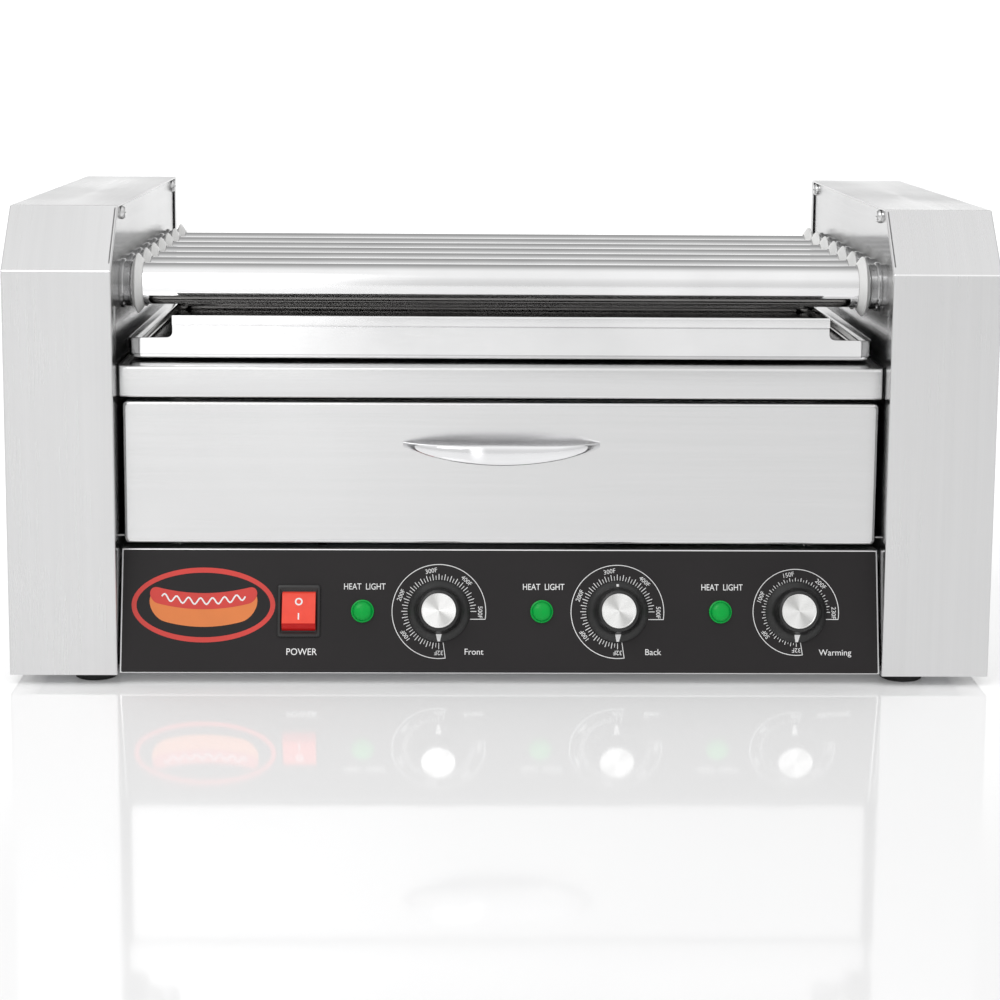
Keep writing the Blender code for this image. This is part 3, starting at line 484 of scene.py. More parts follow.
def sheet_metal(piece, thickness, offset=-1.0):
    """Gives a surface the thickness of its sheet."""
    modifier = piece.modifiers.new("sheet", "SOLIDIFY")
    modifier.thickness = thickness
    modifier.offset = offset
    modifier.use_even_offset = True
    shading = piece.modifiers.new("flat_faces", "WEIGHTED_NORMAL")
    shading.keep_sharp = True
    return piece


def at(depth):
    """The Y of a place that far behind the towers' front."""
    return FRONT + depth


def hand(side):
    """The word for a side, -1 or 1, in the pieces' names."""
    return "left" if side < 0 else "right"


def tower_outline(front, back, low, high):
    """The tower's side view as (Y, Z) points, inset at the front and the back."""
    slope = (TOP - CHAMFER_Z) / CHAMFER_DEPTH
    reach = CHAMFER_DEPTH - (TOP - high) / slope
    return [(at(front), low), (at(front), CHAMFER_Z + front * slope), (at(reach), high),
            (BACK - back, high), (BACK - back, low)]


def add_across(bm, loops, side, inner, outer):
    """Extrudes (Y, Z) loops between two distances from the middle."""
    ends = sorted((side * inner, side * outer))
    add_plate(bm, loops, ALONG["X"], ends[0], ends[1])


def add_side_box(bm, side, across, low, high):
    ends = sorted(side * value for value in across)
    add_box(bm, (ends[0], *low), (ends[1], *high))


def add_strip(bm, rings):
    """Joins successive open rows of points with faces."""
    rows = [[bm.verts.new(point) for point in ring] for ring in rings]
    for first, second in zip(rows, rows[1:]):
        for a, b, c, d in zip(first, first[1:], second[1:], second):
            bm.faces.new((a, b, c, d))
    return rows


def slot_outline(low, high, z, radius):
    """A long hole with round ends, lying along Y."""
    points = []
    for end, turn in ((high - radius, -0.5), (low + radius, 0.5)):
        for k in range(7):
            angle = math.pi * (turn + k / 6)
            points.append((end + radius * math.cos(angle), z + radius * math.sin(angle)))
    return points


# ------------------------------------------------------------------------- towers

COVER_FRONT_RETURN = 0.016
COVER_BACK_RETURN = 0.010
COVER_BOTTOM_RETURN = 0.0155
VENT_LEVELS = [0.0475 + 0.012 * row for row in range(6)]
VENT_RADIUS = 0.0015
VENT_SPAN = (at(0.215), at(0.287))
WALL_SCREWS = ((0.0555, 0.2755), (0.311, 0.2755))


def make_cover(side):
    """One tower's casing, folded from a single sheet, with louvres low on its outer side."""
    name = f"{hand(side)}_cover"
    path = fillet(tower_outline(0, 0, BOTTOM, TOP), FOLD)
    inward = [-normal for normal in normals(path)]
    rings = []
    # Less than the folds' own radius, or their inner points would fall together
    radius = 0.8 * FOLD
    for edge, direction in ((TOWER_X, -1), (HALF_WIDTH, 1)):
        turns = [math.pi / 2 * k / 4 for k in range(5)]
        if direction < 0:
            turns.reverse()
        for turn in turns:
            inset = radius * (1 - math.cos(turn))
            across = edge - direction * radius * (1 - math.sin(turn))
            rings.append([(side * across, *(p + n * inset)) for p, n in zip(path, inward)])
    bm = bmesh.new()
    rows = add_strip(bm, rings)
    # The small fold faces take the painted highlight steel.
    for face in bm.faces:
        if max((a.co.yz - b.co.yz).length for a in face.verts for b in face.verts) < FOLD:
            face.material_index = 3
    side_outline = [(vert.co.y, vert.co.z) for vert in rows[-1]]
    vents = [slot_outline(*VENT_SPAN, z, VENT_RADIUS) for z in VENT_LEVELS]
    flat = [[Vector((y, z, 0)) for y, z in loop] for loop in [side_outline] + vents]
    verts = list(rows[-1])
    verts += [bm.verts.new((side * HALF_WIDTH, y, z)) for loop in vents for y, z in loop]
    for triangle in tessellate_polygon(flat):
        bm.faces.new([verts[i] for i in triangle]).material_index = 1
    slope = (TOP - CHAMFER_Z) / CHAMFER_DEPTH
    reach = at(COVER_FRONT_RETURN)
    front_edge = [vert for vert in rows[0] if vert.co.y < reach]
    front_edge += [bm.verts.new((side * TOWER_X, reach, CHAMFER_Z + COVER_FRONT_RETURN * slope - 0.0015)),
                   bm.verts.new((side * TOWER_X, reach, BOTTOM))]
    reach = BACK - COVER_BACK_RETURN
    back_edge = [vert for vert in rows[0] if vert.co.y > reach]
    back_edge += [bm.verts.new((side * TOWER_X, reach, BOTTOM)),
                  bm.verts.new((side * TOWER_X, reach, TOP - 0.0011))]
    # The inner returns of the folded sheet take the painted shade steel.
    for edge in (front_edge, back_edge):
        bm.faces.new(edge).material_index = 2
    steels = [STEEL_WRAP, STEEL_Z, STEEL_WALL_SHADE, STEEL_FOLD_HIGHLIGHT]
    cover = new_piece(name, bm, steels, stands_for=[name])
    sheet_metal(cover, SHEET)

    bm = bmesh.new()
    span = (HALF_WIDTH - COVER_BOTTOM_RETURN, HALF_WIDTH - SHEET)
    add_side_box(bm, side, span, (at(0.001), BOTTOM), (BACK - 0.001, BOTTOM + SHEET))
    flange = new_piece(f"{name}_bottom_fold", bm, STEEL_Y)
    soften(flange, 0.0003)


def screw_head(bm, place, radius=0.0035, height=0.0024):
    """A pan-head screw with a cross recess, its axis along the place's Z."""
    recess = 0.0006
    arms = 0.0021
    rim = [(0, radius), (height * 0.35, radius * 0.98), (height * 0.72, radius * 0.78)]
    add_turned(bm, [(-0.0006, 0), (-0.0006, radius)] + rim + [(height * 0.80, radius * 0.66)], place, 32)
    cross = [(recess / 2, recess / 2), (recess / 2, arms), (-recess / 2, arms), (-recess / 2, recess / 2)]
    outline = []
    for quarter in range(4):
        cos = round(math.cos(quarter * math.pi / 2))
        sin = round(math.sin(quarter * math.pi / 2))
        outline += [(x * cos - y * sin, x * sin + y * cos) for x, y in cross[:3]]
    dome = circle((0, 0), radius * 0.66, 32)
    add_plate(bm, [dome, outline], place, height * 0.35, height * 0.80)
    add_plate(bm, [circle((0, 0), arms * 1.1, 16)], place, height * 0.2, height * 0.36)


def screws(name, places, body=FRAME_BODY, radius=0.0035, height=0.0024):
    bm = bmesh.new()
    for place in places:
        screw_head(bm, place, radius, height)
    piece = new_piece(name, bm, SCREW, body)
    soften(piece, 0.00025, 2, 40)
    return piece


def facing(point, direction):
    """A frame at a point whose Z looks along a direction."""
    return Matrix.Translation(point) @ Vector(direction).to_track_quat("Z", "Y").to_matrix().to_4x4()


def make_inner_wall(side):
    """The wall that carries one end of every roller, with its bearing collars and ledge."""
    name = f"{hand(side)}_inner_wall"
    inner = WALL_X
    outer = WALL_X + PLATE
    low = WALL_LOW.z
    high = WALL_HIGH.z
    front = WALL_LOW.y - FRONT
    bores = [circle((axis.y, axis.z), 0.0143, 48) for axis in ROLLER_AXES]
    outline = tower_outline(front, BACK - WALL_HIGH.y, low, high)
    bm = bmesh.new()
    add_across(bm, [outline] + bores, side, inner, outer)
    for edge in (WALL_LOW.y, WALL_HIGH.y - PLATE):
        span = (outer - 0.0002, WALL_HIGH.x)
        add_side_box(bm, side, span, (edge, low), (edge + PLATE, high - 0.040))
    ledge_top = DRAWER_LOW.z + 0.002
    add_side_box(bm, side, (0.219, inner + 0.0002), (at(0.038), ledge_top - PLATE),
                 (at(0.315), ledge_top))
    # The wall and its collars are darkened with the painted shade steel.
    wall = new_piece(name, bm, STEEL_WALL_SHADE, stands_for=[name])
    soften(wall, 0.0003)

    bm = bmesh.new()
    for axis in ROLLER_AXES:
        place = Matrix.Translation((0, axis.y, axis.z)) @ ALONG["X"]
        profile = [(outer, 0.0131), (outer, 0.0146), (inner, 0.0148), (inner - 0.0008, 0.0148),
                   (inner - 0.0016, 0.0143), (inner - 0.0018, 0.0138), (0.2224, 0.0138),
                   (0.2219, 0.0135), (0.2219, 0.0131)]
        add_turned(bm, [(side * along, radius) for along, radius in profile], place, 64)
    new_piece(f"{name}_bearing_collars", bm, STEEL_WALL_SHADE)

    heads = []
    for depth, z in WALL_SCREWS:
        heads.append(facing((side * inner, at(depth), z), (-side, 0, 0)))
    screws(f"{name}_screws", heads, radius=0.0041, height=0.0034)


def make_feet():
    """Four round rubber feet, each a tapered puck with a moulded rim round its screw."""
    for across in ("left", "right"):
        for end in ("front", "back"):
            node = f"foot_{across}_{end}"
            low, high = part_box(node)
            radius = (high.x - low.x) / 2
            height = high.z - low.z
            place = Matrix.Translation(((low.x + high.x) / 2, (low.y + high.y) / 2, low.z))
            profile = [(0.003, 0), (0.003, 0.0042), (0.0004, 0.0052), (0, 0.0062), (0, radius * 0.86),
                       (0.0006, radius * 0.93), (height * 0.72, radius), (height * 0.86, radius),
                       (height, radius * 0.95), (height, 0)]
            bm = bmesh.new()
            add_turned(bm, profile, place, 40)
            new_piece(node, bm, RUBBER, stands_for=[node])
            screws(f"{node}_screw", [facing(place @ Vector((0, 0, 0.0031)), (0, 0, -1))], radius=0.0030)


def make_rear():
    """The cable gland's hexagon and the screws of the rear panel."""
    low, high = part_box("cable_gland")
    centre = (low + high) / 2
    place = Matrix.Translation((centre.x, 0, centre.z)) @ ALONG["Y"]
    start = low.y
    end = high.y
    nut = end - 0.0062
    bore = 0.0032
    outer = (high.x - low.x) / 2
    bm = bmesh.new()
    thread = [(start, bore), (start, 0.0068), (nut, 0.0068), (nut, bore)]
    add_turned(bm, thread, place, 40)
    hexagon = [(across, up) for up, across in circle((0, 0), outer, 6)]
    seat = at(0.3238)
    add_plate(bm, [hexagon, circle((0, 0), bore + 0.0002, 24)], place, seat, seat + 0.0035)
    cap = [(at(0.3272), bore), (at(0.3272), outer * 0.93), (end - 0.0018, outer * 0.90),
           (end - 0.0004, outer * 0.62), (end, outer * 0.55), (end, bore)]
    add_turned(bm, cap, place, 40)
    gland = new_piece("cable_gland", bm, BLACK, stands_for=["cable_gland"])
    soften(gland, 0.0003)

    low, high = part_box("rear_panel")
    heads = []
    for across in (-0.205, -0.07, 0.07, 0.205):
        for z in (low.z + 0.009, high.z - 0.009):
            heads.append(facing((across, high.y, z), (0, 1, 0)))
    screws("rear_panel_screws", heads)


# ------------------------------------------------------------------------- rollers

def make_rollers():
    """Seven polished tubes with a flared seal at each end."""
    bore = ROLLER_RADIUS - 0.0012
    edge = 0.0003
    start = SEAL_LOW.x
    end = SEAL_HIGH.x
    seal = [(start, 0.0129), (start, 0.0136), (start + 0.0005, 0.0142), (start + 0.0019, 0.0163),
            (start + 0.0030, 0.0176), (start + 0.0034, 0.0180), (start + 0.0039, 0.0181),
            (start + 0.0043, 0.0178), (start + 0.0048, 0.0166), (end - 0.0006, 0.0150),
            (end, 0.0146), (end, 0.0129)]
    for i, axis in enumerate(ROLLER_AXES, 1):
        body = f"roller_{i}"
        tube = f"roller_tube_{i}"
        place = Matrix.Translation((0, axis.y, axis.z)) @ ALONG["X"]
        low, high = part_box(tube)
        profile = [(low.x, bore + edge), (low.x, ROLLER_RADIUS - edge), (low.x + edge, ROLLER_RADIUS),
                   (high.x - edge, ROLLER_RADIUS), (high.x, ROLLER_RADIUS - edge), (high.x, bore + edge),
                   (high.x - edge, bore), (low.x + edge, bore)]
        bm = bmesh.new()
        add_turned(bm, profile, place, 96)
        new_piece(tube, bm, ROLLER, body, stands_for=[tube])
        for side in (-1, 1):
            name = f"seal_{hand(side)}_{i}"
            bm = bmesh.new()
            add_turned(bm, [(side * along, radius) for along, radius in seal], place, 72)
            new_piece(name, bm, PTFE, body, stands_for=[name], crisp=50)


# --------------------------------------------------------------- deck, tray, drawer

def sweep_across(bm, path, thickness, half):
    """Extrudes a folded sheet's (Y, Z) path from -half to half along X."""
    add_plate(bm, [thicken(path, thickness)], ALONG["X"], -half, half)


def make_cabinet_top():
    """The deck under the tray, with its front lip and side flanges."""
    lip_z = LIP_LOW.z
    deck_z = LIP_HIGH.z - 0.0013
    half = TOWER_X - 0.0010
    face = LIP_LOW.y
    path = fillet([(face + 0.010, lip_z), (face, lip_z), (face, deck_z), (at(0.3235), deck_z)], 0.0024)
    bm = bmesh.new()
    sweep_across(bm, path, -PLATE, half)
    deck = new_piece("cabinet_top", bm, STEEL_FRONT, stands_for=["cabinet_top"])
    soften(deck, 0.00035)

    bm = bmesh.new()
    span = (TOWER_X + 0.0003, WALL_X - 0.0003)
    for side in (-1, 1):
        add_side_box(bm, side, span, (at(0.030), lip_z), (at(0.3225), deck_z - 0.0005))
        add_side_box(bm, side, (half - 0.001, WALL_X - 0.0004), (at(0.030), deck_z - 0.0009),
                     (at(0.3225), deck_z - 0.0002))
        runner = rectangle((0.150, deck_z - 0.0004), (0.154, LIP_HIGH.z), 0.0011)
        if side < 0:
            runner = [(-x, z) for x, z in runner]
        add_plate(bm, [runner], xz_plane(), at(0.090), at(0.296))
    # The flanges and runners are painted dark as shadow.
    new_piece("cabinet_top_flanges", bm, STEEL_SHADOW)


def xz_plane():
    """A frame whose X and Y are the machine's X and Z and whose Z runs to its back."""
    return Matrix(((1, 0, 0, 0), (0, 0, 1, 0), (0, 1, 0, 0), (0, 0, 0, 1)))


def make_tray():
    """The drip tray: a pressed pan with folded side strips and a hemmed lip at the front."""
    low, high = TRAY_LOW, TRAY_HIGH
    front = at(0.0400)
    back = at(0.2998)
    half = high.x
    rim = low.z + 0.0128
    corner = 0.008
    loops = [(low.z, 0.0042), (low.z + 0.0004, 0.0022), (low.z + 0.0012, 0.0009), (low.z + 0.0024, 0.0002),
             (low.z + 0.0036, 0), (rim - 0.0012, 0), (rim - 0.0003, 0.0003), (rim, 0.0010)]
    bm = bmesh.new()
    add_pan(bm, (-half, front), (half, back), corner, loops)
    strip = 0.0085
    inset = 0.0010
    outline = rectangle((-half + inset, front + inset), (half - inset, back - inset), corner - inset)
    for side in (-1, 1):
        edge = [(x, y) for x, y in outline if side * x >= half - strip - 0.0001]
        edge.sort(key=lambda point: math.atan2(point[1] - (front + back) / 2, side * point[0]))
        points = [(side * (half - strip), front + inset)] + edge + [(side * (half - strip), back - inset)]
        bm.faces.new([bm.verts.new((x, y, rim)) for x, y in points])
    bmesh.ops.remove_doubles(bm, verts=bm.verts, dist=0.00002)
    tray = new_piece("drip_tray", bm, [BRIGHT, TRAY_INSIDE_SHADE], "drip_tray",
                     ["drip_tray"], crisp=40)
    sheet_metal(tray, SHEET)
    # The inner side of the sheet takes the painted shade copy of the polish.
    tray.modifiers["sheet"].material_offset = 1

    lip_half = 0.1962
    round_in = 0.0035
    top = high.z - 0.0056
    outline = []
    for side in (1, -1):
        arc = []
        for k in range(7):
            turn = math.pi / 2 * k / 6
            arc.append((side * (lip_half + round_in * (1 - math.cos(turn))),
                        rim + 0.0002 + round_in * (1 - math.sin(turn))))
        outline += arc if side > 0 else arc[::-1]
        if side > 0:
            flat = half - corner
            outline += [(flat, rim), (flat, low.z + 0.0036), (-flat, low.z + 0.0036), (-flat, rim)]
    outline += [(-lip_half, top), (lip_half, top)]
    bm = bmesh.new()
    add_plate(bm, [outline], xz_plane(), front - 0.00002, front + 0.0010)
    face = low.y + 0.0004
    hem = fillet([(front + 0.0009, top - 0.0020), (front + 0.0009, high.z - 0.0003),
                  (face, high.z - 0.0006), (face, high.z - 0.0062), (front + 0.0004, high.z - 0.0074)],
                 0.00125, 6)
    sweep_across(bm, hem, 0.0007, lip_half)
    lip = new_piece("drip_tray_lip", bm, BRIGHT, "drip_tray", crisp=40)
    soften(lip, 0.0002)


def make_drawer():
    """The bun drawer: a folded front over a sheet box with hemmed edges."""
    face = DRAWER_LOW.y
    low = (-0.2243, DRAWER_LOW.z)
    high = (0.2243, DRAWER_HIGH.z)
    deep = 0.0118
    radius = 0.0021
    rings = []
    for k in range(6):
        turn = math.pi / 2 * k / 5
        rings.append((face + radius * (1 - math.sin(turn)), radius * (1 - math.cos(turn))))
    rings = [(face + deep, 0)] + rings
    bm = bmesh.new()
    add_front_pan(bm, low, high, rings, 0.0026)
    front = new_piece("drawer_front", bm, STEEL_FRONT, "bun_drawer", crisp=40)
    sheet_metal(front, SHEET)

    bm = bmesh.new()
    half = 0.2220
    bottom = DRAWER_LOW.z + 0.0023
    rim = at(0.312)
    loops = [(bottom, 0.0020), (bottom + 0.0006, 0.0006), (bottom + 0.0020, 0), (0.1572, 0),
             (0.1579, 0.0004), (0.1580, 0.0012), (0.1579, 0.0020), (0.1560, 0.0021)]
    add_pan(bm, (-half, face + SHEET), (half, rim), 0.003, loops)
    box = new_piece("drawer_box", bm, STEEL_X, "bun_drawer", ["bun_drawer"], 40)
    sheet_metal(box, SHEET)


def add_front_pan(bm, low, high, rings, corner):
    """Rounded rectangles facing the front, stacked from the rim to the face and closed there."""
    rows = []
    for y, inset in rings:
        inner = max(corner - inset * 0.5, 0.0006)
        outline = rectangle((low[0] + inset, low[1] + inset), (high[0] - inset, high[1] - inset), inner)
        rows.append([bm.verts.new((x, y, z)) for x, z in outline])
    join_rings(bm, rows)
    bm.faces.new(rows[-1])


def make_handle():
    """A cast bow handle: level along its top, bellied below, thinning to a point at each end."""
    half = HANDLE_HIGH.x
    tip_y = HANDLE_HIGH.y
    reach = tip_y - HANDLE_LOW.y
    top = HANDLE_HIGH.z
    tall = top - HANDLE_LOW.z
    stations = 64
    sides = 28
    rows = []
    for s in range(stations + 1):
        u = -math.cos(math.pi * s / stations)
        fat = 1 - abs(u) ** 1.8
        height = 0.0030 + (tall - 0.0030) * fat
        thick = 0.0026 + 0.0030 * fat
        bow = 1 - abs(u) ** 3.2
        centre_y = tip_y - thick / 2 - (reach - thick) * bow
        centre_z = top - 0.0016 * abs(u) ** 2.0 - height / 2
        row = []
        for k in range(sides):
            turn = 2 * math.pi * k / sides
            y = math.copysign(abs(math.cos(turn)) ** 0.8, math.cos(turn))
            z = math.copysign(abs(math.sin(turn)) ** 0.8, math.sin(turn))
            row.append(Vector((u * half, centre_y + thick / 2 * y, centre_z + height / 2 * z)))
        rows.append(row)
    bm = bmesh.new()
    rings = [[bm.verts.new(point) for point in row] for row in rows]
    join_rings(bm, rings)
    bm.faces.new(rings[0])
    bm.faces.new(rings[-1][::-1])
    new_piece("drawer_handle", bm, CHROME, "bun_drawer", ["drawer_handle"], 60)

    heads = []
    screw_level = (top + HANDLE_LOW.z) / 2 + 0.002
    for side in (-1, 1):
        heads.append(facing((side * (half - 0.0065), DRAWER_LOW.y + 0.0028, screw_level), (0, 1, 0)))
    screws("drawer_handle_screws", heads, "bun_drawer", 0.0034)


# ------------------------------------------------------------------- control panel

FILM_OUT = 0.00030
INK_OUT = 0.00034


def make_control_panel():
    """The sloping stainless fascia with the dark printed film laid on it."""
    half = 0.2255
    foot = PANEL_FOOT
    top = PANEL_FOOT + UP_PANEL * PANEL_LENGTH
    skin = 0.00108
    path = fillet([(at(0.0145), foot.z + 0.0001), (foot.y, foot.z), (top.y, top.z), (at(0.034), top.z)],
                  0.0008)
    bm = bmesh.new()
    sweep_across(bm, path, -skin, half)
    panel = new_piece("control_panel", bm, STEEL_X, stands_for=["control_panel"])
    soften(panel, 0.0002)

    bm = bmesh.new()
    edge = 0.0008
    outline = rectangle((-half + edge, edge), (half - edge, PANEL_LENGTH - edge), 0.0008)
    add_plate(bm, [outline], panel_matrix(0, 0), 0.00005, FILM_OUT)
    new_piece("control_panel_film", bm, FILM)


def add_text(bm, text, height, place, align="CENTER"):
    """Adds lettering of a given capital height to a mesh, standing on the place's plane."""
    curve = bpy.data.curves.new("lettering", "FONT")
    curve.body = text
    curve.align_x = align
    curve.align_y = "BOTTOM_BASELINE"
    curve.size = height / 0.72
    curve.extrude = 0.00002
    curve.resolution_u = 3
    letters = bpy.data.objects.new("lettering", curve)
    mesh = bpy.data.meshes.new_from_object(letters)
    mesh.transform(place)
    bm.from_mesh(mesh)
    bpy.data.objects.remove(letters)
    bpy.data.curves.remove(curve)
    bpy.data.meshes.remove(mesh)


def add_mark(bm, outline, place, out=0.0):
    add_plate(bm, [outline], place, out - 0.00002, out + 0.00002)


def arc_band(radius, width, start, end, steps=72):
    """A closed outline along an arc of the given width."""
    angles = [start + (end - start) * k / steps for k in range(steps + 1)]
    outer = [((radius + width / 2) * math.cos(a), (radius + width / 2) * math.sin(a)) for a in angles]
    inner = [((radius - width / 2) * math.cos(a), (radius - width / 2) * math.sin(a)) for a in angles]
    return outer + inner[::-1]


def bar(angle, inner, outer, width):
    """A radial stroke."""
    along = Vector((math.cos(angle), math.sin(angle)))
    across = Vector((-along.y, along.x)) * width / 2
    return [tuple(along * inner - across), tuple(along * outer - across),
            tuple(along * outer + across), tuple(along * inner + across)]


DIALS = (
    ("front", 0.0279, (32, 100, 200, 300, 400, 500)),
    ("back", 0.0277, (32, 100, 200, 300, 400, 500)),
    ("warmer", 0.0256, (32, 50, 100, 150, 200, 230)),
)
NUMBER_TURNS = (270, 216, 157, 101, 48, -1)


def make_dial(name, radius, numbers, across):
    """One thermostat's printed scale: an open ring with ticks and temperatures inside it."""
    place = panel_matrix(across, CONTROL_ROW, INK_OUT)
    bm = bmesh.new()
    line = 0.00042
    short_line = 0.00034
    inner = radius * 0.665
    tick_foot = radius * 0.672
    long_reach = radius * 0.800
    short_reach = radius * 0.765
    number_foot = radius * 0.835
    last = -math.asin(0.165)
    first = math.radians(278)
    add_mark(bm, arc_band(radius, line, last, first), place)
    add_mark(bm, bar(first, inner, radius + line / 2, line), place)
    level = radius * math.sin(last)
    low = (inner, level - line / 2)
    high = (radius * math.cos(last) + line / 2, level + line / 2)
    add_mark(bm, rectangle(low, high), place)
    for k in range(55):
        turn = math.radians(270 - 5 * k)
        reach, width = (short_reach, short_line) if k % 2 else (long_reach, line)
        add_mark(bm, bar(turn, tick_foot, reach, width), place)
    for number, turn in zip(numbers, NUMBER_TURNS):
        spot = Matrix.Rotation(math.radians(turn - 90), 4, "Z")
        spot = spot @ Matrix.Translation((0, number_foot, 0))
        add_text(bm, f"{number}F", 0.0027, place @ spot)
    new_piece(f"{name}_dial_marks", bm, INK)


def make_lettering():
    """The plain words beside the controls."""
    bm = bmesh.new()

    def words(text, height, across, up, stretch=1.0):
        place = panel_matrix(across, up, INK_OUT) @ Matrix.Diagonal((stretch, 1, 1, 1))
        add_text(bm, text, height, place)

    words("POWER", 0.0041, -0.1183, 0.0110, 0.93)
    for across in LAMP_ACROSS:
        words("HEAT  LIGHT", 0.0038, across + 0.0011, 0.0499, 0.81)
    for text, middle in (("Front", -0.0160), ("Back", 0.0906), ("Warming", 0.1993)):
        words(text, 0.0037, middle, 0.0114)
    new_piece("panel_lettering", bm, INK)


def make_emblem():
    """A plain picture of a hot dog in an oval, printed at the panel's left."""
    place = panel_matrix(-0.1767, 0.0405, INK_OUT)
    wide = 0.0426
    tall = 0.0222

    def capsule(half, radius, lift=0.0, bend=0.0, sides=14):
        """A sausage shape, bowed by bend at its middle."""
        points = []
        for end, turn in ((half, -0.5), (-half, 0.5)):
            for k in range(sides + 1):
                angle = math.pi * (turn + k / sides)
                points.append((end + radius * math.cos(angle), radius * math.sin(angle)))
        full = []
        for (x0, y0), (x1, y1) in zip(points, points[1:] + points[:1]):
            steps = max(1, int(abs(x1 - x0) / 0.003))
            full += [(x0 + (x1 - x0) * k / steps, y0 + (y1 - y0) * k / steps) for k in range(steps)]
        return [(x, y + lift + bend * (x / half) ** 2) for x, y in full]

    bm = bmesh.new()
    ring = [(wide * x, tall * y) for x, y in circle((0, 0), 1, 72)]
    inner = [(x * 0.932, y * 0.862) for x, y in ring]
    add_plate(bm, [ring, inner], place, -0.00002, 0.00002)
    add_mark(bm, capsule(0.0270, 0.0048, 0.0022, 0.0034), place, 0.00006)
    new_piece("panel_emblem_red", bm, EMBLEM_RED)

    bm = bmesh.new()
    add_mark(bm, capsule(0.0226, 0.0094, -0.0036, 0.0030), place)
    new_piece("panel_emblem_bun", bm, EMBLEM_BUN)

    bm = bmesh.new()
    steps = 60
    line = []
    for k in range(steps + 1):
        x = -0.0248 + 0.0496 * k / steps
        wave = 0.0019 * math.sin(k / steps * 14 * math.pi)
        line.append(Vector((x, 0.0022 + 0.0034 * (x / 0.0270) ** 2 + wave)))
    half_stroke = 0.00045
    spine = list(zip(line, normals(line)))
    band = [tuple(p + n * half_stroke) for p, n in spine]
    band += [tuple(p - n * half_stroke) for p, n in reversed(spine)]
    add_mark(bm, band, place, 0.00012)
    new_piece("panel_emblem_line", bm, INK)


def make_lamps():
    """Green pilot lenses: a low dome with a stepped rim."""
    for i, across in enumerate(LAMP_ACROSS, 1):
        name = f"heat_lamp_{i}"
        low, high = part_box(name)
        place = panel_matrix(across)
        radius = (high.x - low.x) / 2
        profile = [(-0.004, 0), (-0.004, 0.0042), (FILM_OUT + 0.0001, 0.0042), (FILM_OUT + 0.0001, radius),
                   (0.0014, radius * 1.03), (0.0021, radius), (0.0024, radius * 0.90),
                   (0.0031, radius * 0.86), (0.0040, radius * 0.80), (0.0047, radius * 0.66),
                   (0.0052, radius * 0.40), (0.0054, 0)]
        bm = bmesh.new()
        add_turned(bm, profile, place, 56)
        new_piece(name, bm, GREEN, stands_for=[name], crisp=40)


def make_knob(name, across):
    """A thermostat knob: skirt with a pointer, waisted grip and a spun metal face."""
    body = f"{name}_knob"
    place = panel_matrix(across)
    profile = [(0.0007, 0), (0.0007, 0.0176), (0.0010, 0.0182), (0.0016, 0.0183), (0.0021, 0.0180),
               (0.0036, 0.0158), (0.0050, 0.0142), (0.0066, 0.0133), (0.0090, 0.0129), (0.0140, 0.0123),
               (0.0150, 0.0120), (0.0156, 0.0114), (0.0158, 0.0107), (0.0155, 0.0104), (0.0152, 0)]
    bm = bmesh.new()
    add_turned(bm, profile, place, 80)
    new_piece(body, bm, BLACK, body, [body], crisp=35)

    rim = 0.0103
    profile = [(-0.0006, 0), (-0.0006, rim), (0.0, rim), (0.00022, rim - 0.0002), (0.00022, rim - 0.0006),
               (0.0001, rim - 0.0008), (0.0001, 0)]
    bm = bmesh.new()
    add_turned(bm, profile, Matrix.Identity(4), 80)
    face = new_piece(f"{body}_face", bm, SPUN, body, crisp=20)
    face.matrix_world = panel_matrix(across, CONTROL_ROW, 0.01575)
    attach(face, body)

    bm = bmesh.new()
    strokes = [(-1, 0.0136, 0.0178, 0.0035, 0.0015)]
    if name == "back":
        strokes.append((1, 0.0148, 0.0163, 0.0015, 0.0015))
    for way, inner, outer, wide_in, wide_out in strokes:
        steps = 8
        rows = []
        for k in range(steps + 1):
            r = inner + (outer - inner) * k / steps
            half = (wide_in + (wide_out - wide_in) * k / steps) / 2
            height = skirt_height(r) + 0.00006
            rows.append([place @ Vector((x, way * r, height)) for x in (-half, half)])
        add_strip(bm, rows)
    pointer = new_piece(f"{body}_pointer", bm, INK, body)
    sheet_metal(pointer, 0.00004, 0)


def skirt_height(radius):
    """How far the knob's skirt stands out of the panel at a distance from its axis."""
    points = ((0.0183, 0.0016), (0.0180, 0.0021), (0.0158, 0.0036), (0.0142, 0.0050), (0.0133, 0.0066))
    for (r0, h0), (r1, h1) in zip(points, points[1:]):
        if r1 <= radius <= r0:
            return h0 + (h1 - h0) * (r0 - radius) / (r0 - r1)
    return points[0][1] if radius > points[0][0] else points[-1][1]


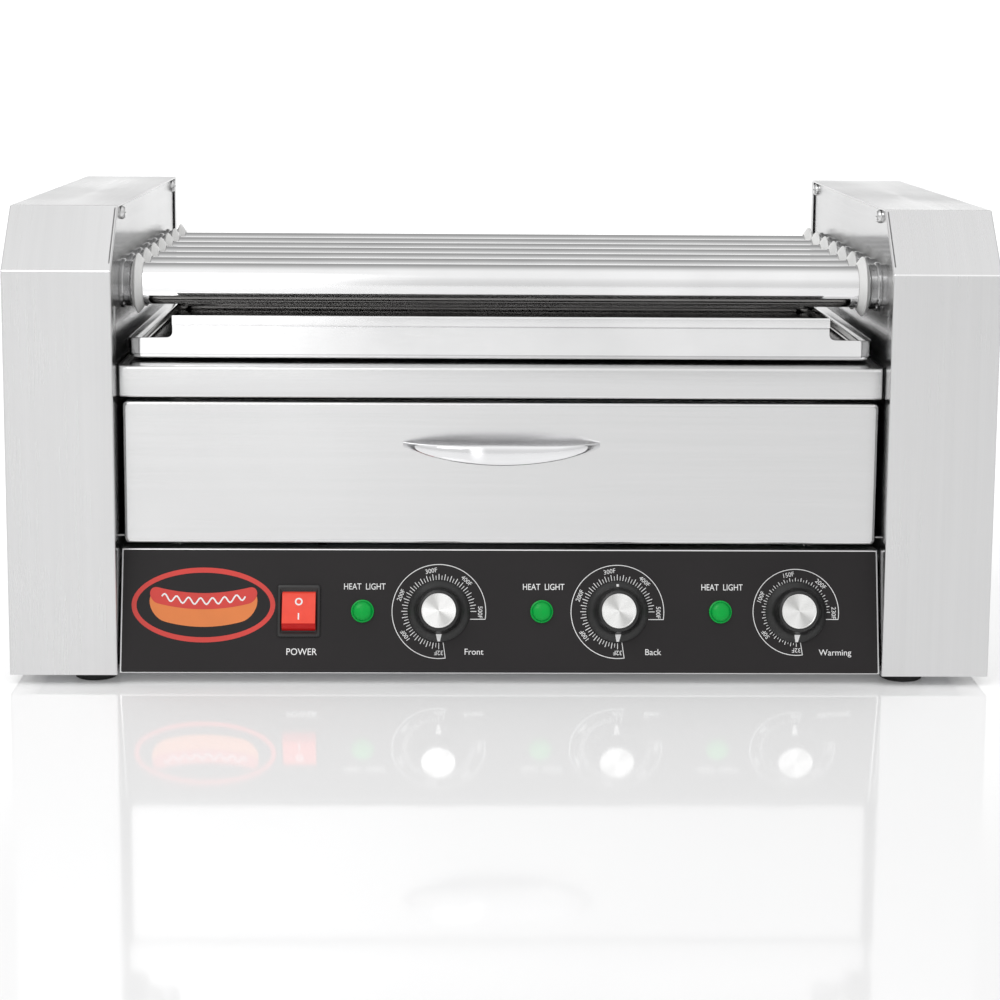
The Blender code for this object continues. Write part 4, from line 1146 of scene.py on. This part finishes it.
def make_switch():
    """The power switch: a black snap-in bezel round a red rocker with its two marks."""
    place = panel_matrix(SWITCH_ACROSS)
    wide, tall = 0.01275, 0.01545
    pocket_wide, pocket_tall = 0.01025, 0.0123
    bm = bmesh.new()
    rings = ((FILM_OUT + 0.0001, 0), (0.0014, 0), (0.0019, 0.0003), (0.0021, 0.0009), (0.0021, 0.0016))
    rows = []
    for height, inset in rings:
        corner = (wide - inset, tall - inset)
        outline = rectangle((-wide + inset, -tall + inset), corner, 0.0014 - inset * 0.5)
        rows.append([bm.verts.new(place @ Vector((x, y, height))) for x, y in outline])
    for height, outset in ((0.0012, 0.0003), (0.0010, 0), (-0.0070, 0)):
        outline = rectangle((-pocket_wide - outset, -pocket_tall - outset),
                            (pocket_wide + outset, pocket_tall + outset), 0.0005)
        rows.append([bm.verts.new(place @ Vector((x, y, height))) for x, y in outline])
    join_rings(bm, rows)
    bm.faces.new(rows[-1])
    bm.faces.new(rows[0][::-1])
    new_piece("switch_housing", bm, BLACK, stands_for=["switch_housing"])

    half = 0.00995
    rise = 0.0036
    tilt = Matrix.Rotation(math.radians(-11), 4, "X")
    crease = -0.0084
    side_view = [(0.0116, rise - 0.0058), (0.0116, rise - 0.0020), (0.0112, rise - 0.0010),
                 (0.0104, rise - 0.0003), (0.0096, rise), (crease, rise), (-0.0088, rise - 0.0007),
                 (-0.0102, rise - 0.0018), (-0.0112, rise - 0.0034), (-0.0116, rise - 0.0058)]
    bm = bmesh.new()
    add_plate(bm, [side_view], place @ tilt @ ALONG["X"], -half, half)
    # Faces below the crease take the painted shade copy of the red lens.
    flatten = (place @ tilt).inverted()
    for face in bm.faces:
        face.material_index = int((flatten @ face.calc_center_median()).y < crease)
    rocker = new_piece("power_rocker", bm, [RED, RED_SHADED_END], "power_rocker",
                       ["power_rocker"], 50)
    soften(rocker, 0.0005, 3, 40)

    bm = bmesh.new()
    mark = place @ tilt @ Matrix.Translation((0, 0, rise + 0.00003))
    ring = circle((0, 0.0049), 0.0023, 40)
    hole = circle((0, 0.0049), 0.0014, 40)
    add_plate(bm, [ring, hole], mark, -0.00003, 0.00003)
    add_mark(bm, rectangle((-0.0004, -0.0060), (0.0004, -0.0020)), mark)
    new_piece("power_rocker_marks", bm, INK, "power_rocker")


# ------------------------------------------------------------- parts kept from CAD

def repaint():
    """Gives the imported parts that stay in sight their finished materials."""
    finishes = {"brushed_stainless": STEEL_X, "zinc_plated_steel": ZINC, "drive_steel": DRIVE,
                "heater_sheath": SHEATH, "black_plastic": BLACK, "motor_casing": CASTING}
    slots = {part["node"]: part["material_slot"] for part in frame["record"]["subparts"]}
    for name, node in frame["nodes"].items():
        if node.hide_render:
            continue
        material = finishes[slots[name]]
        node.data.materials.clear()
        node.data.materials.append(material)


def make_all():
    for side in (-1, 1):
        make_cover(side)
        make_inner_wall(side)
    make_feet()
    make_rear()
    make_rollers()
    make_cabinet_top()
    make_tray()
    make_drawer()
    make_handle()
    make_control_panel()
    for (name, radius, numbers), across in zip(DIALS, KNOB_ACROSS):
        make_dial(name, radius, numbers, across)
        make_knob(name, across)
    make_lettering()
    make_emblem()
    make_lamps()
    make_switch()
    repaint()


make_all()


# -------------------------------------------------------------------------- studio

WORLD_STRENGTH = 1.0
LEFT_PATCH = 1.1


def floor_material():
    paint = Paint("studio_floor", (0.93, 0.93, 0.932), 0.06, Specular_IOR_Level=1.0,
                  Emission_Strength=0.10)
    paint.shader.inputs["Emission Color"].default_value = (1, 1, 1, 1)
    cloud = paint.noise((6.0,) * 3, detail=2.0)
    paint.link(paint.spread(cloud, 0.05, 0.07), "Roughness")
    return paint.material


def make_floor():
    bm = bmesh.new()
    bmesh.ops.create_grid(bm, x_segments=2, y_segments=2, size=30)
    mesh = bpy.data.meshes.new("studio_floor")
    bm.to_mesh(mesh)
    bm.free()
    mesh.materials.append(floor_material())
    floor = bpy.data.objects.new("studio_floor", mesh)
    bpy.context.scene.collection.objects.link(floor)


def add_softbox(name, place, target, size, power):
    light = bpy.data.lights.new(name, "AREA")
    light.energy = power
    light.size = size
    lamp = bpy.data.objects.new(name, light)
    bpy.context.scene.collection.objects.link(lamp)
    lamp.location = place
    lamp.rotation_euler = (Vector(target) - Vector(place)).to_track_quat("-Z", "Y").to_euler()


def make_world():
    """A bright ceiling that greys towards the back, white walls and a brighter patch at front left."""
    world = bpy.data.worlds.new("studio")
    bpy.context.scene.world = world
    world.use_nodes = True
    tree = world.node_tree

    def smooth_step(value, none, full):
        node = tree.nodes.new("ShaderNodeMapRange")
        node.interpolation_type = "SMOOTHSTEP"
        tree.links.new(value, node.inputs["Value"])
        node.inputs["From Min"].default_value = none
        node.inputs["From Max"].default_value = full
        return node.outputs[0]

    coordinates = tree.nodes.new("ShaderNodeTexCoord")
    split = tree.nodes.new("ShaderNodeSeparateXYZ")
    tree.links.new(coordinates.outputs["Generated"], split.inputs[0])
    toward_viewer = math_node(tree, "MULTIPLY", split.outputs["Y"], -1.0)
    height = math_node(tree, "MAXIMUM", split.outputs["Z"], 0.0)
    arc = math_node(tree, "DIVIDE", math_node(tree, "ARCTAN2", height, toward_viewer), math.pi)
    ramp = tree.nodes.new("ShaderNodeValToRGB")
    tree.links.new(arc, ramp.inputs[0])
    # Share of the half turn from the viewer's side over the top to the back, and its brightness
    stops = ((0.0, 0.80), (0.08, 0.82), (0.16, 0.90), (0.26, 1.05), (0.36, 1.06), (0.46, 1.06),
             (0.55, 0.90), (0.64, 0.60), (0.74, 0.40), (0.84, 0.36), (0.89, 0.60), (0.92, 1.30),
             (1.0, 1.30))
    elements = ramp.color_ramp.elements
    for i, (place, level) in enumerate(stops):
        element = elements[i] if i < 2 else elements.new(place)
        element.position = place
        element.color = (level, level, level, 1)
    sideways = tree.nodes.new("ShaderNodeMapRange")
    tree.links.new(math_node(tree, "ABSOLUTE", split.outputs["X"]), sideways.inputs["Value"])
    sideways.inputs["From Min"].default_value = 0.55
    sideways.inputs["From Max"].default_value = 0.95
    mix = tree.nodes.new("ShaderNodeMix")
    mix.data_type = "RGBA"
    tree.links.new(sideways.outputs[0], mix.inputs["Factor"])
    tree.links.new(ramp.outputs[0], mix.inputs[6])
    mix.inputs[7].default_value = (0.74, 0.74, 0.74, 1)
    inner_edge = smooth_step(split.outputs["X"], -0.02, -0.09)
    outer_edge = smooth_step(split.outputs["X"], -0.19, -0.10)
    ahead = smooth_step(split.outputs["Y"], -0.3, -0.8)
    patch = math_node(tree, "MULTIPLY", math_node(tree, "MULTIPLY", inner_edge, outer_edge), ahead)
    background = tree.nodes["Background"]
    tree.links.new(mix.outputs[2], background.inputs["Color"])
    strength = math_node(tree, "MULTIPLY_ADD", patch, LEFT_PATCH, WORLD_STRENGTH)
    tree.links.new(strength, background.inputs["Strength"])


CAMERA_PLACE = Vector((-0.02759, FRONT - 1.38025, 0.38018))
CAMERA_LENS = 86.26
CAMERA_TURN = 0.0189
CAMERA_PITCH = 0.1501
CAMERA_ROLL = 0.0069


def make_camera():
    """Straight on, a little left of centre and above, looking slightly down."""
    camera_data = bpy.data.cameras.new("camera")
    camera = bpy.data.objects.new("camera", camera_data)
    bpy.context.scene.collection.objects.link(camera)
    camera_data.lens = CAMERA_LENS
    camera_data.sensor_width = 36
    camera_data.shift_y = -0.1
    camera_data.clip_start = 0.05
    camera_data.clip_end = 200
    level = Matrix.Rotation(-CAMERA_TURN, 4, "Z") @ Matrix.Rotation(math.pi / 2 - CAMERA_PITCH, 4, "X")
    roll = Matrix.Rotation(CAMERA_ROLL, 4, "Z")
    camera.matrix_world = Matrix.Translation(CAMERA_PLACE) @ level @ roll
    bpy.context.scene.camera = camera


make_floor()
make_world()
make_camera()
add_softbox("key_light", (-1.2, -1.8, 2.2), (0, 0, 0.15), 1.6, 20)
bpy.context.scene.view_settings.view_transform = "Standard"
